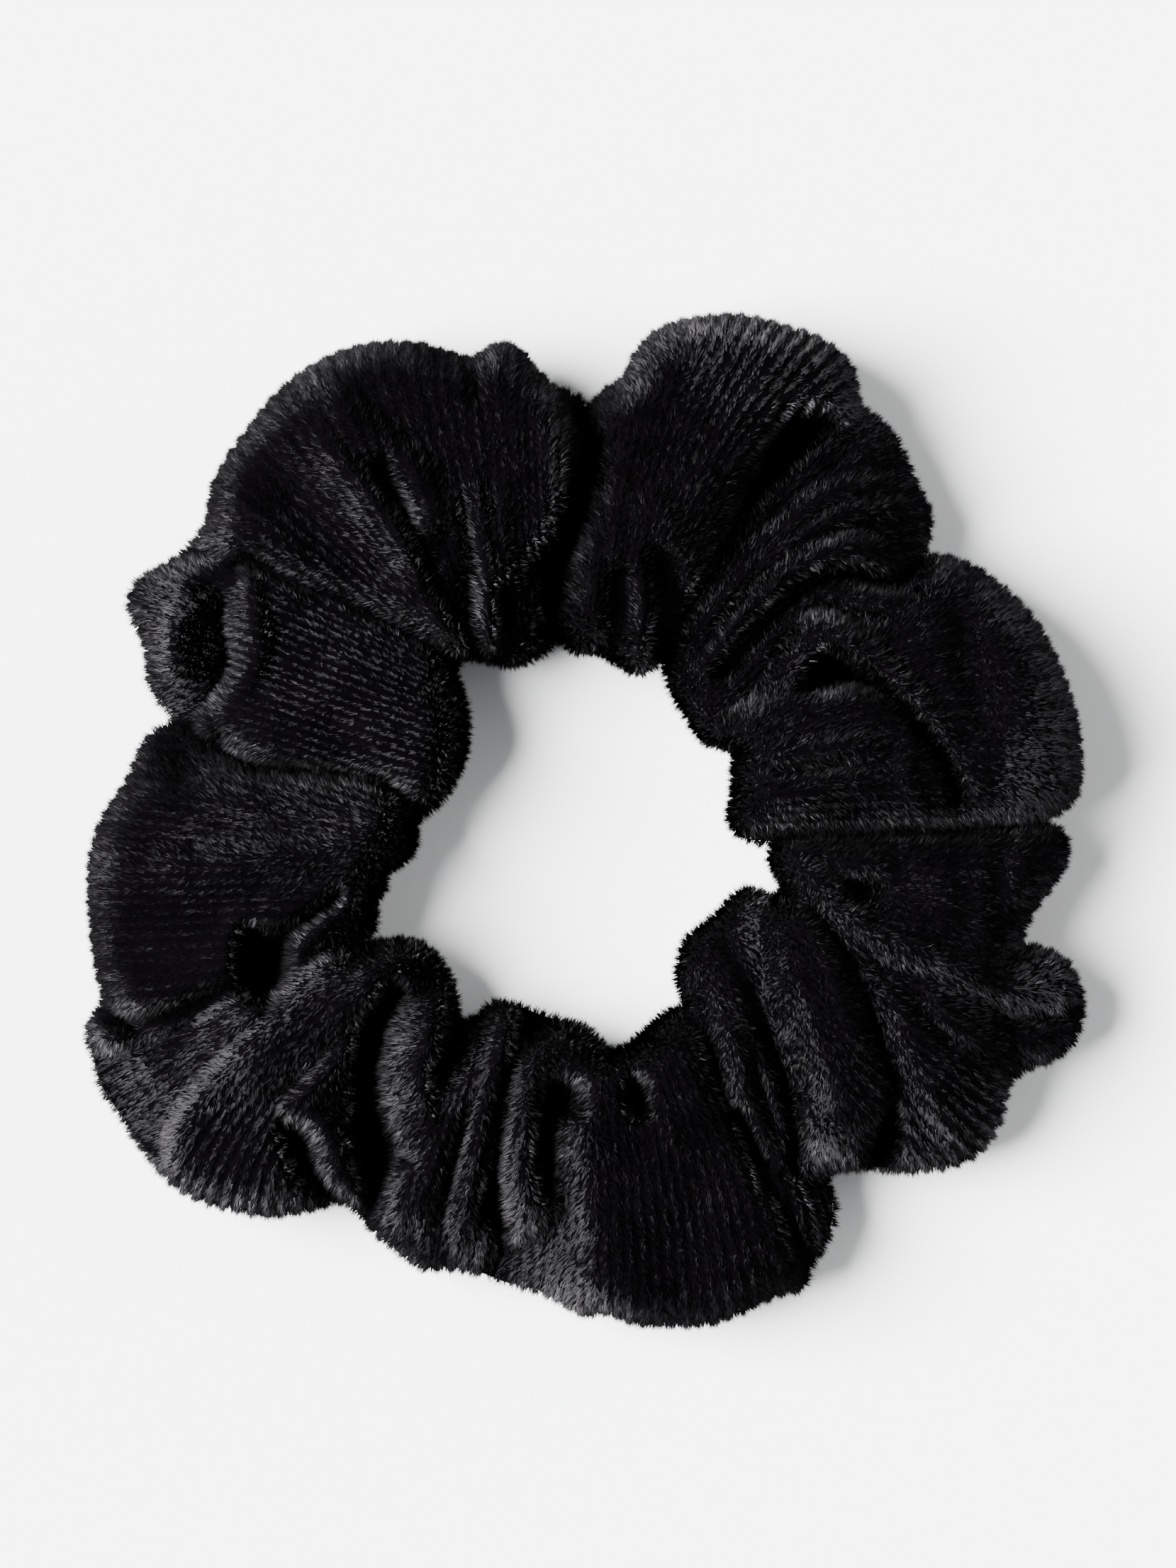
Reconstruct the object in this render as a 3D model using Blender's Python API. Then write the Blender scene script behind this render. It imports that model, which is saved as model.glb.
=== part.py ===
"""A gathered velvet hair scrunchie, lying on its side: an elastic loop in a full cloth sleeve.

The sleeve is a hollow ring, open at the split across its middle, where the two halves are
pulled apart along +X as the elastic stretches. Inside run the elastic (a braid round four
rubber threads, its ends lapped and overcast) and the threads of the sleeve's two seams.
Metres, +Z up. The origin is under the middle of the object, on the surface it lies on.
"""

import math

import bmesh
import bpy
import numpy as np
from mathutils import Vector

MM = 0.001

# Round the ring: angle in degrees from +X, then the outer edge, the inner edge and the height in mm.
# Each puff of cloth is a high outer value, and each gather between two puffs is a low one.
GATHERS = [
    (2, 49.0, 18.0, 21),
    (15, 51.2, 15.8, 24),
    (30, 50.2, 17.5, 23),
    (42, 47.0, 17.3, 21),
    (53, 52.5, 18.0, 22),
    (66, 56.0, 20.6, 24),
    (76, 54.5, 19.0, 24),
    (86, 46.2, 19.7, 20),
    (95, 47.5, 20.0, 22),
    (105, 51.0, 19.2, 24),
    (117, 54.4, 20.2, 25),
    (128, 51.8, 16.2, 24),
    (141, 49.0, 14.2, 22),
    (151, 50.5, 13.8, 23),
    (162, 42.5, 14.2, 20),
    (174, 46.4, 15.6, 22),
    (187, 48.8, 17.3, 24),
    (199, 50.2, 20.8, 22),
    (209, 53.2, 20.4, 20),
    (222, 52.0, 17.4, 23),
    (234, 45.0, 19.3, 20),
    (246, 44.0, 17.2, 22),
    (259, 43.8, 17.2, 23),
    (272, 47.0, 17.8, 22),
    (288, 49.6, 19.9, 24),
    (300, 47.4, 18.0, 22),
    (311, 43.6, 15.6, 20),
    (323, 50.2, 15.0, 23),
    (338, 52.6, 16.4, 24),
    (350, 47.0, 20.0, 20),
]
TUBE_MIDDLE = 0.42  # height of the tube's widest line, as a share of its height
TUBE_ROUND = 0.58  # its rise above that line, and its fall below it before it meets the table

CLOTH = 1.2 * MM  # velvet with its pile
SPLIT_GAP = 0.3 * MM  # each half stops this far from the split
HALF_STEPS = 38  # stretches of cloth along each half
TUBE_SIDES = 20

ELASTIC_LOOP_RADIUS = 25.0 * MM
ELASTIC_WIDTH = 6.0 * MM
ELASTIC_THICK = 1.6 * MM
ELASTIC_HEIGHT = 10.0 * MM  # of the band's middle above the table
BRAID_WALL = 0.25 * MM
LAP = 12.0 * MM
LAP_GAP = 0.3 * MM
LAP_ANGLE = 255.0  # where the lap starts, in degrees
RAMP = 20.0  # degrees over which the outer end climbs onto the inner one
ELASTIC_STEPS = 52
RUBBER_THREADS = 4
RUBBER_RADIUS = 0.35 * MM
RUBBER_PITCH = 1.3 * MM
RUBBER_END = 0.4 * MM  # the rubber stops this far inside the braid's cut end

THREAD_RADIUS = 0.25 * MM
THREAD_CLEAR = 1.1 * MM  # a seam thread's middle lies this far in from the cloth
LONG_SEAM_SIDE = 206.0  # where the long seam lies round the tube, in degrees from its outer side
LONG_SEAM_STEPS = 90
CLOSING_SEAM_ANGLE = 199.0  # where the closing seam lies round the ring, in degrees
CLOSING_SEAM_ENDS = 14.0  # it starts and ends this many degrees from the long seam
CLOSING_STITCHES = 26
STITCH_SWING = 0.5 * MM
OVERCAST_TURNS = 6
OVERCAST_CLEAR = 0.35 * MM


def clear_scene():
    for thing in list(bpy.data.objects):
        bpy.data.objects.remove(thing)


def material(name, colour, roughness, metallic=0.0, sheen=0.0):
    made = bpy.data.materials.new(name)
    made.use_nodes = True
    shader = made.node_tree.nodes["Principled BSDF"]
    shader.inputs["Base Color"].default_value = (*colour, 1)
    shader.inputs["Roughness"].default_value = roughness
    shader.inputs["Metallic"].default_value = metallic
    shader.inputs["Sheen Weight"].default_value = sheen
    made.diffuse_color = (*colour, 1)
    return made


def place(name, data, finish):
    made = bpy.data.objects.new(name, data)
    bpy.context.scene.collection.objects.link(made)
    data.materials.append(finish)
    return made


def gather_at(angle):
    """(outer edge, inner edge, height) in metres at this angle, on a smooth closed curve."""
    angle %= 360.0
    knots = GATHERS[-2:] + GATHERS + GATHERS[:2]
    turns = [-360.0] * 2 + [0.0] * len(GATHERS) + [360.0] * 2
    at = [knot[0] + turn for knot, turn in zip(knots, turns)]
    k = max(i for i in range(1, len(at) - 2) if at[i] <= angle)
    t = (angle - at[k]) / (at[k + 1] - at[k])
    found = []
    for value in (1, 2, 3):
        before, low, high, after = (knots[k + i][value] for i in (-1, 0, 1, 2))
        span = at[k + 1] - at[k]
        leave = (high - before) / (at[k + 1] - at[k - 1]) * span
        arrive = (after - low) / (at[k + 2] - at[k]) * span
        found.append(
            (2 * t**3 - 3 * t**2 + 1) * low
            + (t**3 - 2 * t**2 + t) * leave
            + (3 * t**2 - 2 * t**3) * high
            + (t**3 - t**2) * arrive
        )
    return [MM * value for value in found]


def sleeve_point(angle, side, inset):
    """A point on the sleeve, or inset metres inside it. side is in degrees round the tube."""
    outer, inner, height = gather_at(angle)
    turn, round_tube = math.radians(angle), math.radians(side)
    reach = (outer + inner) / 2 + ((outer - inner) / 2 - inset) * math.cos(round_tube)
    rise = height * TUBE_MIDDLE + (height * TUBE_ROUND - inset) * math.sin(round_tube)
    rise = max(rise, inset)
    return Vector((reach * math.cos(turn), reach * math.sin(turn), rise)) - RING_OFFSET


def offset_to_middle():
    """How far the drawn ring's box lies from the origin, so that the ring can be centred on it."""
    drawn = [sleeve_point(angle, 0, 0) for angle in half_angles(0) + half_angles(180)]
    low = [min(point[axis] for point in drawn) for axis in (0, 1)]
    high = [max(point[axis] for point in drawn) for axis in (0, 1)]
    return Vector(((low[0] + high[0]) / 2, (low[1] + high[1]) / 2, 0))


def half_angles(middle):
    """The angles of one half's sections, from one end of it to the other."""
    return list(np.linspace(middle - 90.0, middle + 90.0, HALF_STEPS + 1))


def loft(name, rings, finish):
    """A closed body through rings of points, the last of them joined to the first."""
    shape = bmesh.new()
    made = [[shape.verts.new(point) for point in ring] for ring in rings]
    for ring, following in zip(made, made[1:] + made[:1]):
        for a, b, c, d in zip(ring, ring[1:] + ring[:1], following[1:] + following[:1], following):
            shape.faces.new((a, b, c, d))
    bmesh.ops.recalc_face_normals(shape, faces=shape.faces)
    mesh = bpy.data.meshes.new(name)
    shape.to_mesh(mesh)
    shape.free()
    mesh.shade_smooth()
    mesh.set_sharp_from_angle(angle=math.radians(50))
    return place(name, mesh, finish)


def thread(name, points, radius, finish, closed=False, resolution=1):
    """A round thread along these points."""
    line = bpy.data.curves.new(name, "CURVE")
    line.dimensions = "3D"
    line.bevel_depth = radius
    line.bevel_resolution = resolution
    line.use_fill_caps = not closed
    spline = line.splines.new("POLY")
    spline.points.add(len(points) - 1)
    for point, place_at in zip(spline.points, points):
        point.co = (*place_at, 1)
    spline.use_cyclic_u = closed
    return place(name, line, finish)


def sleeve_half(name, middle, away, finish):
    """One half of the sleeve, hollow and open at both ends. away is -1 or 1, its side of the split."""
    sides = np.arange(TUBE_SIDES) * 360.0 / TUBE_SIDES + 180.0 / TUBE_SIDES
    angles = half_angles(middle)
    back = Vector((away * SPLIT_GAP, 0, 0))
    outside = [[sleeve_point(angle, side, 0) + back for side in sides] for angle in angles]
    inside = [[sleeve_point(angle, side, CLOTH) + back for side in sides] for angle in angles]
    return loft(name, outside + inside[::-1], finish)


def elastic_path(start_trim=0.0):
    """(angle, radius) along the elastic, from its inner end to its outer end over the lap."""
    lap = math.degrees(LAP / ELASTIC_LOOP_RADIUS)
    trim = math.degrees(start_trim / ELASTIC_LOOP_RADIUS)
    path = []
    for along in np.linspace(trim, 360.0 + lap - trim, ELASTIC_STEPS):
        climbed = min(max((along - (360.0 - RAMP)) / RAMP, 0.0), 1.0)
        climbed = climbed * climbed * (3 - 2 * climbed)
        radius = ELASTIC_LOOP_RADIUS + climbed * (ELASTIC_THICK + LAP_GAP)
        path.append((LAP_ANGLE + along, radius))
    return path


def elastic_point(angle, radius, height):
    turn = math.radians(angle)
    return Vector((radius * math.cos(turn), radius * math.sin(turn), height)) - RING_OFFSET


def band_ring(angle, radius, shrink):
    """The outline of the flat band at one station, drawn in by shrink on every side."""
    wide, thick = ELASTIC_WIDTH / 2 - shrink, ELASTIC_THICK / 2 - shrink
    corner = 0.5 * thick
    outline = [
        (thick, -wide + corner),
        (thick, wide - corner),
        (thick - corner, wide),
        (-thick + corner, wide),
        (-thick, wide - corner),
        (-thick, -wide + corner),
        (-thick + corner, -wide),
        (thick - corner, -wide),
    ]
    return [elastic_point(angle, radius + out, ELASTIC_HEIGHT + up) for out, up in outline]


def elastic_braid(finish):
    """The flat braided tube of the elastic, open at its two cut ends."""
    path = elastic_path()
    outside = [band_ring(angle, radius, 0) for angle, radius in path]
    inside = [band_ring(angle, radius, BRAID_WALL) for angle, radius in path]
    return loft("elastic_braid", outside + inside[::-1], finish)


def rubber_threads(finish):
    """The rubber threads that lie side by side in the braid and give the elastic its pull."""
    path = elastic_path(RUBBER_END)
    for k in range(RUBBER_THREADS):
        height = ELASTIC_HEIGHT + (k - (RUBBER_THREADS - 1) / 2) * RUBBER_PITCH
        points = [elastic_point(angle, radius, height) for angle, radius in path]
        thread(f"rubber_thread_{k + 1}", points, RUBBER_RADIUS, finish)


def lap_stitches(finish):
    """The overcast thread wound round both layers of the lap."""
    lap = math.degrees(LAP / ELASTIC_LOOP_RADIUS)
    clear = OVERCAST_CLEAR + THREAD_RADIUS
    middle = ELASTIC_LOOP_RADIUS + (ELASTIC_THICK + LAP_GAP) / 2
    out = ELASTIC_THICK + LAP_GAP / 2 + clear
    up = ELASTIC_WIDTH / 2 + clear
    corners = [(-out, -up), (out, -up), (out, up), (-out, up)]
    points = []
    for k in range(4 * OVERCAST_TURNS + 1):
        share = 0.12 + 0.76 * k / (4 * OVERCAST_TURNS)
        across, height = corners[k % 4]
        points.append(
            elastic_point(LAP_ANGLE + share * lap, middle + across, ELASTIC_HEIGHT + height)
        )
    thread("lap_stitches", points, THREAD_RADIUS, finish)


def long_seam_thread(finish):
    """The thread of the seam that makes the cloth a tube: it runs right round the ring."""
    inset = CLOTH + THREAD_CLEAR
    points = [
        sleeve_point(360.0 * k / LONG_SEAM_STEPS, LONG_SEAM_SIDE, inset)
        for k in range(LONG_SEAM_STEPS)
    ]
    thread("long_seam_thread", points, THREAD_RADIUS, finish, closed=True, resolution=0)


def closing_seam_thread(finish):
    """The zigzag thread that joins the sleeve's two ends, nearly all the way round the tube."""
    inset = CLOTH + THREAD_CLEAR
    swing = math.degrees(STITCH_SWING / ELASTIC_LOOP_RADIUS)
    first = LONG_SEAM_SIDE + CLOSING_SEAM_ENDS
    span = 360.0 - 2 * CLOSING_SEAM_ENDS
    points = []
    for k in range(2 * CLOSING_STITCHES + 1):
        side = first + span * k / (2 * CLOSING_STITCHES)
        angle = CLOSING_SEAM_ANGLE + (swing if k % 2 else -swing)
        points.append(sleeve_point(angle, side, inset))
    thread("closing_seam_thread", points, THREAD_RADIUS, finish, resolution=0)


def build():
    velvet = material("black_velvet", (0.012, 0.013, 0.015), 0.9, sheen=0.6)
    braid = material("black_braid", (0.02, 0.02, 0.022), 0.8)
    rubber = material("natural_rubber", (0.55, 0.42, 0.28), 0.6)
    cotton = material("black_thread", (0.015, 0.015, 0.017), 0.7)
    sleeve_half("sleeve_left", 180, -1, velvet)
    sleeve_half("sleeve_right", 0, 1, velvet)
    elastic_braid(braid)
    rubber_threads(rubber)
    lap_stitches(cotton)
    long_seam_thread(cotton)
    closing_seam_thread(cotton)


RING_OFFSET = Vector((0, 0, 0))
RING_OFFSET = offset_to_middle()
clear_scene()
build()
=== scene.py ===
"""The looks of the gathered velvet scrunchie: sleeve, pile, elastic, threads, floor and light.

The sleeve is one cloth tube. Its plan follows two outlines, its ribs run from the inner one to the
outer one, and its upper side takes its height from a field of lobes, rolled folds, creases and
hollows laid over each other, all in millimetres. The pile stands on it as fine fibres.
"""
import math

import bmesh
import bpy
import numpy as np
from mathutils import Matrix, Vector


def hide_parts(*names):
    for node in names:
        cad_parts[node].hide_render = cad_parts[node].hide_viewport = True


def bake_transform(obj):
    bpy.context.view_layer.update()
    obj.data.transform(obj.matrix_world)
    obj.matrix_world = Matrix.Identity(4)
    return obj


MM = 0.001
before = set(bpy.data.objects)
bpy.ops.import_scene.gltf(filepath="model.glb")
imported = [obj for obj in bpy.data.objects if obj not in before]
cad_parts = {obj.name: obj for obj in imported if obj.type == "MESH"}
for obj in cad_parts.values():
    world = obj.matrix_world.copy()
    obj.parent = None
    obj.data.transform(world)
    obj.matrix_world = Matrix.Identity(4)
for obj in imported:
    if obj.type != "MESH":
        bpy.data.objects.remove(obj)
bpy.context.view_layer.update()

STEP = 0.25
EDGE = 53.0
AXIS = np.arange(-EDGE, EDGE + STEP / 2, STEP)
GX, GY = np.meshgrid(AXIS, AXIS)          # row = y, column = x

OUTER = [(-37.5, 30), (-37, 33), (-35.5, 36), (-33, 39.5), (-30, 43), (-27, 45.2), (-24, 46.7), (-20, 47.5),
         (-16, 47.3), (-13, 46.3), (-11, 46), (-10, 46.5), (-8.5, 47.5), (-7, 47.2), (-6, 46.3), (-5, 45),
         (-4, 44), (-3.2, 43.2), (-1.5, 42.8), (0, 41.8), (0.4, 41.3), (2, 42.8), (4, 44), (5.3, 46.5),
         (7, 48.5), (9, 49.5), (12, 50.1), (16, 50.2), (20, 49.2), (24, 47.7), (26, 46), (27, 44),
         (27.2, 42), (29, 40.5), (31, 38.5), (32, 36.5), (33, 34), (34.3, 31.5), (34.5, 29), (34, 27),
         (33.4, 25.9), (35, 26.3), (37, 26), (40, 24.5), (43, 22), (45.5, 19), (47, 16), (48.5, 12),
         (49.3, 8), (49.5, 5), (49, 2.5), (47.5, 1), (45.5, 0), (46.5, -0.3), (48, -1.5), (48.2, -3.5),
         (47, -6), (45, -8.5), (43.8, -11), (43.4, -12.2), (46, -13), (48, -14), (49.2, -16), (49.8, -18),
         (49.6, -20.5), (48.5, -22.5), (46.5, -24), (44, -24.8), (42.5, -26), (42, -28), (41.5, -30),
         (40.5, -32), (38, -34), (35, -34.8), (31, -35), (27, -34.7), (25, -35), (24.2, -35.6), (25, -38),
         (25, -40), (24, -42.5), (22.5, -45), (22, -46.5), (20, -47), (17.5, -48), (15, -49.3), (12, -50.2),
         (9, -50.3), (5, -50), (2, -49), (0, -49.2), (-1.5, -48.6), (-3, -47.7), (-5, -47), (-8, -46.3),
         (-10, -45.5), (-12, -45), (-14, -44.8), (-16, -44.8), (-18, -43.5), (-20, -42), (-22.5, -39.5),
         (-24, -38), (-27, -38.6), (-31, -39.3), (-35, -38.8), (-39, -37.5), (-41.5, -35.8), (-44, -33),
         (-46.5, -29.5), (-48.5, -26.5), (-49.2, -24), (-49.7, -21.5), (-49, -19.5), (-48, -18),
         (-48.5, -15), (-49, -11), (-49.3, -8), (-49.3, -5), (-48.8, -2), (-47.5, 1), (-45.5, 4),
         (-44.5, 6.5), (-43, 9), (-41, 10.1), (-42.5, 12), (-43.5, 14), (-43.6, 16), (-44, 18), (-45, 20),
         (-45.6, 22), (-45, 23.5), (-43, 25), (-41, 26), (-39, 28)]
INNER = [(-12.5, 16.2), (-10, 16.2), (-8, 15.7), (-6.5, 15.6), (-5, 16.3), (-3.5, 17.3), (-2.3, 18),
         (-1, 17), (1, 17), (3, 16), (5.5, 14.8), (7, 15.5), (7.9, 16.8), (8.2, 14.5), (9, 12.5),
         (10.5, 10), (12, 8), (14, 7.3), (15, 7), (14.8, 5), (14.8, 2), (14.5, 0), (15, -1), (17, -2),
         (19, -2.5), (18.5, -3.5), (19, -5), (20, -6.5), (18.5, -7.8), (17, -6.8), (15.5, -7), (14, -8.5),
         (12.5, -10), (10.5, -11.5), (9.5, -13.5), (9.3, -16), (10, -18.3), (8, -19.2), (6, -21),
         (4, -22.5), (3, -23.2), (1.5, -22), (0, -20.5), (-2, -20), (-4, -19.3), (-7, -18.3), (-9, -18.2),
         (-11, -19.8), (-12.4, -20), (-12.7, -19), (-13, -17), (-14, -14.5), (-15.5, -12.8), (-18, -12),
         (-21, -12.3), (-22.9, -12.4), (-21.5, -11.5), (-20.8, -10), (-21, -8), (-20, -7), (-19.7, -5),
         (-18, -4), (-16.8, -2), (-16.8, 0), (-16, 0.5), (-14, 2.5), (-12.5, 5), (-11.8, 7.5), (-11.7, 10),
         (-12.3, 13), (-13, 15.4)]
CREASE_SHADE = np.zeros(GX.shape)               # painted shade along the creases, 0 to 1
PUFF_BLEND, FOLD_BLEND = 0.5, 0.35        # how far lobes and folds run into what they lie on, mm


def smooth_path(points, closed, step=0.3):
    """Points along a cubic through the given ones, about a step apart; any further columns follow along."""
    p = np.array(points, float)
    n = len(p)
    q = np.vstack([p[-1], p, p[0], p[1]]) if closed else np.vstack([2 * p[0] - p[1], p, 2 * p[-1] - p[-2]])
    out = []
    for k in range(n if closed else n - 1):
        a, b, c, d = q[k:k + 4]
        ab, bc, cd = (max(math.dist(s[:2], t[:2]), 0.01) for s, t in ((a, b), (b, c), (c, d)))
        before = ((b - a) / ab * bc + (c - b) / bc * ab) / (ab + bc) * bc
        after = ((c - b) / bc * cd + (d - c) / cd * bc) / (bc + cd) * bc
        m = max(1, round(bc / step))
        t = (np.arange(m) / m)[:, None]
        out.append((2 * t ** 3 - 3 * t ** 2 + 1) * b + (t ** 3 - 2 * t ** 2 + t) * before
                   + (3 * t ** 2 - 2 * t ** 3) * c + (t ** 3 - t ** 2) * after)
    if not closed:
        out.append(p[-1:])
    return np.vstack(out)


def window(path, margin):
    """Slices of the grid that hold this path."""
    low = np.clip(((path[:, :2].min(0) - margin + EDGE) / STEP).astype(int), 0, len(AXIS) - 1)
    high = np.clip(((path[:, :2].max(0) + margin + EDGE) / STEP).astype(int) + 2, 1, len(AXIS))
    return slice(low[1], high[1]), slice(low[0], high[0])


def inside(path, x, y):
    """Whether each point lies inside the closed path."""
    found = np.zeros(x.shape, bool)
    x0, y0 = path[:, 0], path[:, 1]
    x1, y1 = np.roll(x0, -1), np.roll(y0, -1)
    for a, b, c, d in zip(x0, y0, x1, y1):
        if b != d:
            rows = (y >= min(b, d)) & (y < max(b, d))
            found ^= rows & (x < a + (y - b) * (c - a) / (d - b))
    return found


def soft_depth(path, x, y):
    """How far each point lies from the closed path, rounded off along the middle so that it has no ridge."""
    size = np.linalg.norm(np.roll(path, -1, 0) - path, axis=1)
    total = np.zeros(x.shape)
    for (a, b), s in zip(path[:, :2], size):
        total += s / ((x - a) ** 2 + (y - b) ** 2 + 0.01) ** 1.5
    return math.sqrt(2) / np.sqrt(total)


def nearest(path, x, y):
    """Distance to an open path, how far along it (0 to 1), and the side of it (+1 left) of each point."""
    best = np.full(x.shape, 1e9)
    along = np.zeros(x.shape)
    side = np.zeros(x.shape)
    n = len(path) - 1
    for k in range(n):
        a, b = path[k, :2], path[k + 1, :2]
        d = b - a
        t = np.clip(((x - a[0]) * d[0] + (y - a[1]) * d[1]) / max(d @ d, 1e-9), 0, 1)
        dx, dy = x - a[0] - t * d[0], y - a[1] - t * d[1]
        r = dx * dx + dy * dy
        closer = r < best
        best = np.where(closer, r, best)
        along = np.where(closer, (k + t) / n, along)
        side = np.where(closer, np.sign(d[0] * dy - d[1] * dx), side)
    return np.sqrt(best), along, side


def highest(a, b, blend):
    return 0.5 * (a + b + np.sqrt((a - b) ** 2 + blend * blend))


def lowest(a, b, blend):
    return 0.5 * (a + b - np.sqrt((a - b) ** 2 + blend * blend))


def pillow(z, outline, top, base, radius, lean=(0, 0), edge=3.2):
    """A puffed lobe inside the outline: base high at its edge, steep over edge, domed to top over radius."""
    path = smooth_path(outline, True)
    w = window(path, 0.5)
    x, y = GX[w], GY[w]
    depth = soft_depth(path, x, y)
    t, far = np.clip(depth / edge, 0, 1), np.clip(depth / radius, 0, 1)
    middle = path.mean(0)
    level = top + lean[0] * (x - middle[0]) + lean[1] * (y - middle[1])
    wall, dome = (1 - (1 - t) ** 2.4) ** (1 / 2.4), np.sqrt(1 - (1 - far) ** 2)
    h = base + (level - base) * (0.68 * wall + 0.32 * dome)
    z[w] = np.where(inside(path, x, y), highest(z[w], h, PUFF_BLEND), z[w])


def hollow(z, outline, floor, radius, blend=0.5):
    """A pit inside the outline down to floor, its wall falling over radius."""
    path = smooth_path(outline, True)
    w = window(path, 0.5)
    x, y = GX[w], GY[w]
    t = np.clip(soft_depth(path, x, y) / radius, 0, 1)
    t = 1 - (1 - t) ** 2
    h = z[w] + (floor - z[w]) * t
    z[w] = np.where(inside(path, x, y), lowest(z[w], h, blend), z[w])


def ridge(z, points, half, rise):
    """A rolled fold with its crest through the (x, y, z) points, half as wide as given and rise high."""
    path = smooth_path(points, False)
    w = window(path, half + 0.5)
    x, y = GX[w], GY[w]
    d, along, _ = nearest(path, x, y)
    k = along * (len(path) - 1)
    crest = np.interp(k, np.arange(len(path)), path[:, 2])
    t = np.clip(d / half, 0, 1)
    h = crest - rise * (1 - np.sqrt(1 - t * t))
    z[w] = np.where(d < half, highest(z[w], h, FOLD_BLEND), z[w])


def valley(z, points, slope, blend=0.5, reach=1.3, most=2.2, dark=0.9):
    """A crease along the (x, y, z) points, its sides rising by slope; it cuts at most so deep and so far, and
    paints shade along it, as dark as given.
    """
    path = smooth_path(points, False)
    w = window(path, reach + 1)
    x, y = GX[w], GY[w]
    d, along, _ = nearest(path, x, y)
    k = along * (len(path) - 1)
    h = np.interp(k, np.arange(len(path)), path[:, 2]) + slope * d
    cut = z[w] - lowest(z[w], h, blend)
    cut = most * (1 - np.exp(-cut / most)) * np.clip(2 * (1 - d / reach), 0, 1)
    z[w] -= cut
    # Painted shade: the pile along the crease is darkened, most at its bottom, fading out to the sides.
    shaded = 0.4 + 0.55 * reach
    shade = dark * np.clip(1.6 * (1 - d / shaded), 0, 1) * np.clip(cut + 0.3, 0, 1)
    CREASE_SHADE[w] = np.maximum(CREASE_SHADE[w], shade)


def fold(z, points, lit, shade, rise):
    """A fold through the (x, y, z) points: broad on the right of the way it runs, steep on the left."""
    path = smooth_path(points, False)
    w = window(path, max(lit, shade) + 0.5)
    x, y = GX[w], GY[w]
    d, along, side = nearest(path, x, y)
    crest = np.interp(along * (len(path) - 1), np.arange(len(path)), path[:, 2])
    t = np.clip(d / np.where(side < 0, lit, shade), 0, 1)
    drop = np.where(side < 0, 0.35 * t + 0.65 * t * t, 1 - np.sqrt(1 - t * t))
    z[w] = np.where(t < 1, highest(z[w], crest - rise * drop, FOLD_BLEND), z[w])


def facet(z, outline, at, slope, soft):
    """A flat slanting stretch inside the outline: its height at a point, and its rise along x and y."""
    path = smooth_path(outline, True)
    w = window(path, 0.5)
    x, y = GX[w], GY[w]
    t = np.clip(soft_depth(path, x, y) / soft, 0, 1)
    t = np.where(inside(path, x, y), t * t * (3 - 2 * t), 0)
    z[w] += (at[2] + slope[0] * (x - at[0]) + slope[1] * (y - at[1]) - z[w]) * t


def swell(z, points, half, amount):
    """Raises (or lowers) what is there by up to amount along the path, fading smoothly to its half width."""
    path = smooth_path(points, False)
    w = window(path, half + 0.5)
    x, y = GX[w], GY[w]
    d, along, _ = nearest(path, x, y)
    t = np.clip(d / half, 0, 1)
    ends = np.clip(np.minimum(along, 1 - along) * 6, 0, 1)
    z[w] += amount * (1 - t * t) ** 2 * (0.3 + 0.7 * ends)


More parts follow.
